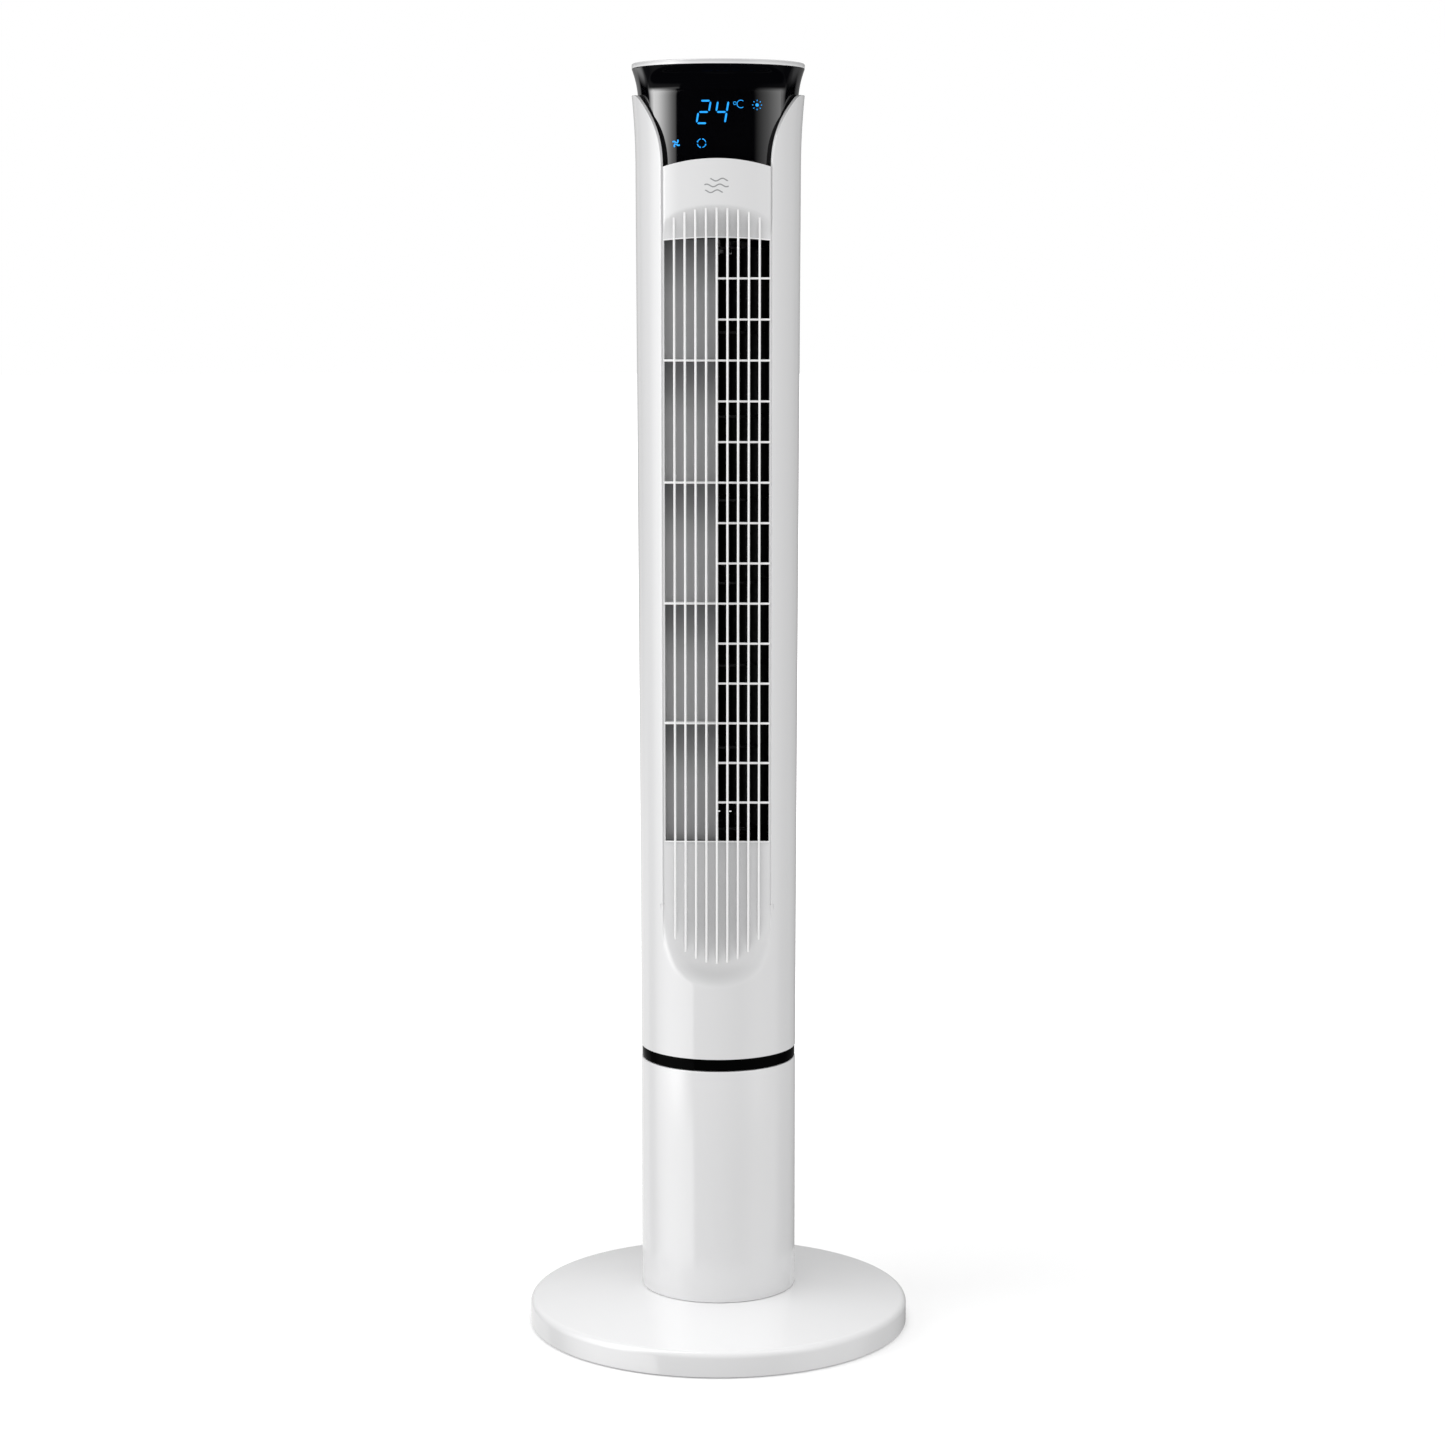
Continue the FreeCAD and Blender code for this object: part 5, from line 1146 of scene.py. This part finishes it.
def add_camera():
    camera = bpy.data.objects.new("camera", bpy.data.cameras.new("camera"))
    azimuth = math.radians(CAMERA_AZIMUTH_DEG)
    camera.location = around(CAMERA_DISTANCE, azimuth, CAMERA_HEIGHT)
    camera.rotation_euler = (math.radians(90 - CAMERA_PITCH_DEG), 0, azimuth - math.radians(CAMERA_YAW_DEG))
    camera.data.lens = CAMERA_LENS_MM
    camera.data.sensor_width = 36
    camera.data.clip_end = 50
    bpy.context.scene.collection.objects.link(camera)
    bpy.context.scene.camera = camera


# What glossy surfaces reflect: degrees to the right of straight ahead, and brightness. The first table is for
# level reflections, as in the head and the tower, and the second for those that go down, as in the pedestal.
LEVEL_REFLECTIONS = (
    (-180.0, 0.35), (-146.0, 0.35), (-141.0, 0.0), (-112.0, 0.0), (-100.0, 1.6), (-66.0, 6.0), (-57.0, 5.0),
    (-49.0, 2.6), (-43.0, 1.1), (-38.5, 0.4), (-38.2, 0.0), (33.0, 0.0), (46.0, 0.6), (60.0, 1.6),
    (92.0, 0.5), (108.0, 0.0), (141.0, 0.0), (147.0, 0.15), (180.0, 0.25))
LOW_REFLECTIONS = (
    (-180.0, 1.0), (-127.0, 0.8), (-122.0, 0.3), (-110.0, 0.3), (-98.0, 1.5), (-79.0, 2.9), (-60.0, 3.0),
    (-44.0, 2.6), (-36.6, 2.3), (-36.3, 0.0), (35.0, 0.0), (49.0, 0.6), (63.0, 1.0), (92.0, 0.9),
    (108.0, 0.1), (124.0, 0.1), (129.0, 0.2), (180.0, 0.25))
AMBIENT_BELOW = 0.74
AMBIENT_ABOVE = 0.54


class WorldNodes(Nodes):
    """A small helper round the world's node tree."""

    def panels(self, turn, table, brightest):
        """Studio panels round the horizon. turn runs from 0 to 1 for -180 to 180 degrees."""
        made = self.make("ShaderNodeValToRGB", Fac=turn)
        stops = made.color_ramp.elements
        while len(stops) < len(table):
            stops.new(0.5)
        for stop, (degrees, value) in zip(stops, table):
            stop.position = degrees / 360 + 0.5
            stop.color = rgba(value / brightest)
        return made.outputs["Color"]

    def light(self, colour, strength=1.0):
        return self.make("ShaderNodeBackground", Color=rgba(colour), Strength=strength).outputs["Background"]

    def choose(self, factor, first, second):
        made = self.make("ShaderNodeMixShader", Fac=factor)
        self.feed(made.inputs[1], first)
        self.feed(made.inputs[2], second)
        return made.outputs["Shader"]


def add_world():
    """White for the camera, soft fill for diffuse light, and studio panels for reflections."""
    world = bpy.data.worlds.new("studio")
    bpy.context.scene.world = world
    world.use_nodes = True
    world.node_tree.nodes.clear()
    nodes = WorldNodes(world.node_tree)
    direction = nodes.make("ShaderNodeTexCoord").outputs["Generated"]
    across, height = nodes.axis(direction, "X"), nodes.axis(direction, "Z")
    ahead = nodes.math("MULTIPLY", nodes.axis(direction, "Y"), -1.0)
    turn = nodes.math("MULTIPLY_ADD", nodes.math("ARCTAN2", across, ahead), 1 / FULL_TURN, 0.5)
    brightest = max(value for _, value in LEVEL_REFLECTIONS + LOW_REFLECTIONS)
    level = nodes.panels(turn, LEVEL_REFLECTIONS, brightest)
    low = nodes.panels(turn, LOW_REFLECTIONS, brightest)
    reflected = nodes.blend(nodes.remap(height, -0.20, -0.06), low, level)
    reflected = nodes.light(nodes.blend(nodes.remap(height, -0.55, -0.34), 0.0, reflected), brightest)
    ambient = nodes.light(nodes.blend(nodes.remap(height, -0.1, 0.1), AMBIENT_BELOW, AMBIENT_ABOVE))
    rays = nodes.make("ShaderNodeLightPath").outputs
    lit = nodes.choose(rays["Is Glossy Ray"], ambient, reflected)
    seen = nodes.choose(rays["Is Camera Ray"], lit, nodes.light(1.0))
    nodes.make("ShaderNodeOutputWorld", Surface=seen)
    world.cycles.sampling_method = "NONE"


def add_soft_light(name, azimuth_deg, elevation_deg, distance, width, height, power):
    """A large soft light aimed at the middle of the tower. Reflections come from the world instead."""
    data = bpy.data.lights.new(name, "AREA")
    data.shape = "RECTANGLE"
    data.size, data.size_y = width, height
    data.energy = power
    light = bpy.data.objects.new(name, data)
    a, e = math.radians(azimuth_deg), math.radians(elevation_deg)
    away = Vector(around(math.cos(e), a, math.sin(e)))
    light.location = Vector((0, 0, 0.5)) + away * distance
    light.rotation_euler = away.to_track_quat("Z", "Y").to_euler()
    light.visible_glossy = False
    light.visible_camera = False
    bpy.context.scene.collection.objects.link(light)


FLOOR_GLOW_START, FLOOR_GLOW_END = 0.3, 2.5
FLOOR_GLOW_NEAR = 0.07


def floor_material():
    """White paper that glows more and more with distance, so that it melts into the white background."""
    shader = Shader("studio_floor")
    shader.colour(shader.noise(3, 2), (0.90, 0.90, 0.90), (0.92, 0.92, 0.92))
    shader.roughness(shader.noise(8, 2), 0.8, 0.95)
    distance = shader.make("ShaderNodeVectorMath")
    distance.operation = "LENGTH"
    shader.feed(distance.inputs[0], shader.coordinates)
    glow = shader.remap(distance.outputs["Value"], FLOOR_GLOW_START, FLOOR_GLOW_END, FLOOR_GLOW_NEAR)
    shader.set(Emission_Strength=glow, Emission_Color=(1, 1, 1, 1), Specular_IOR_Level=0.0)
    return shader.material


def add_floor():
    """A very large pale floor. It takes shadows, and the world stands in for the light that it returns."""
    bm = bmesh.new()
    add_rings(bm, [[(x, y, -0.2) for x, y in circle(radius, count=64)] for radius in (400.0, 30000.0)],
              closed_loop=False)
    bm.faces.new([v for v in bm.verts if v.co.length < 500])
    floor = put("floor", bm)
    floor.data.materials.append(floor_material())
    floor.visible_glossy = False
    floor.visible_diffuse = False


def build_studio():
    add_camera()
    add_world()
    add_soft_light("key", -65, 25, 2.6, 1.6, 1.6, 18)
    add_soft_light("fill", 42, 15, 2.8, 1.6, 1.6, 5.2)
    add_soft_light("top", 0, 84, 6.0, 5.2, 5.2, 232)
    add_floor()
    bpy.context.scene.view_settings.view_transform = "Standard"


build_pieces()
dress_cad_nodes()
build_studio()
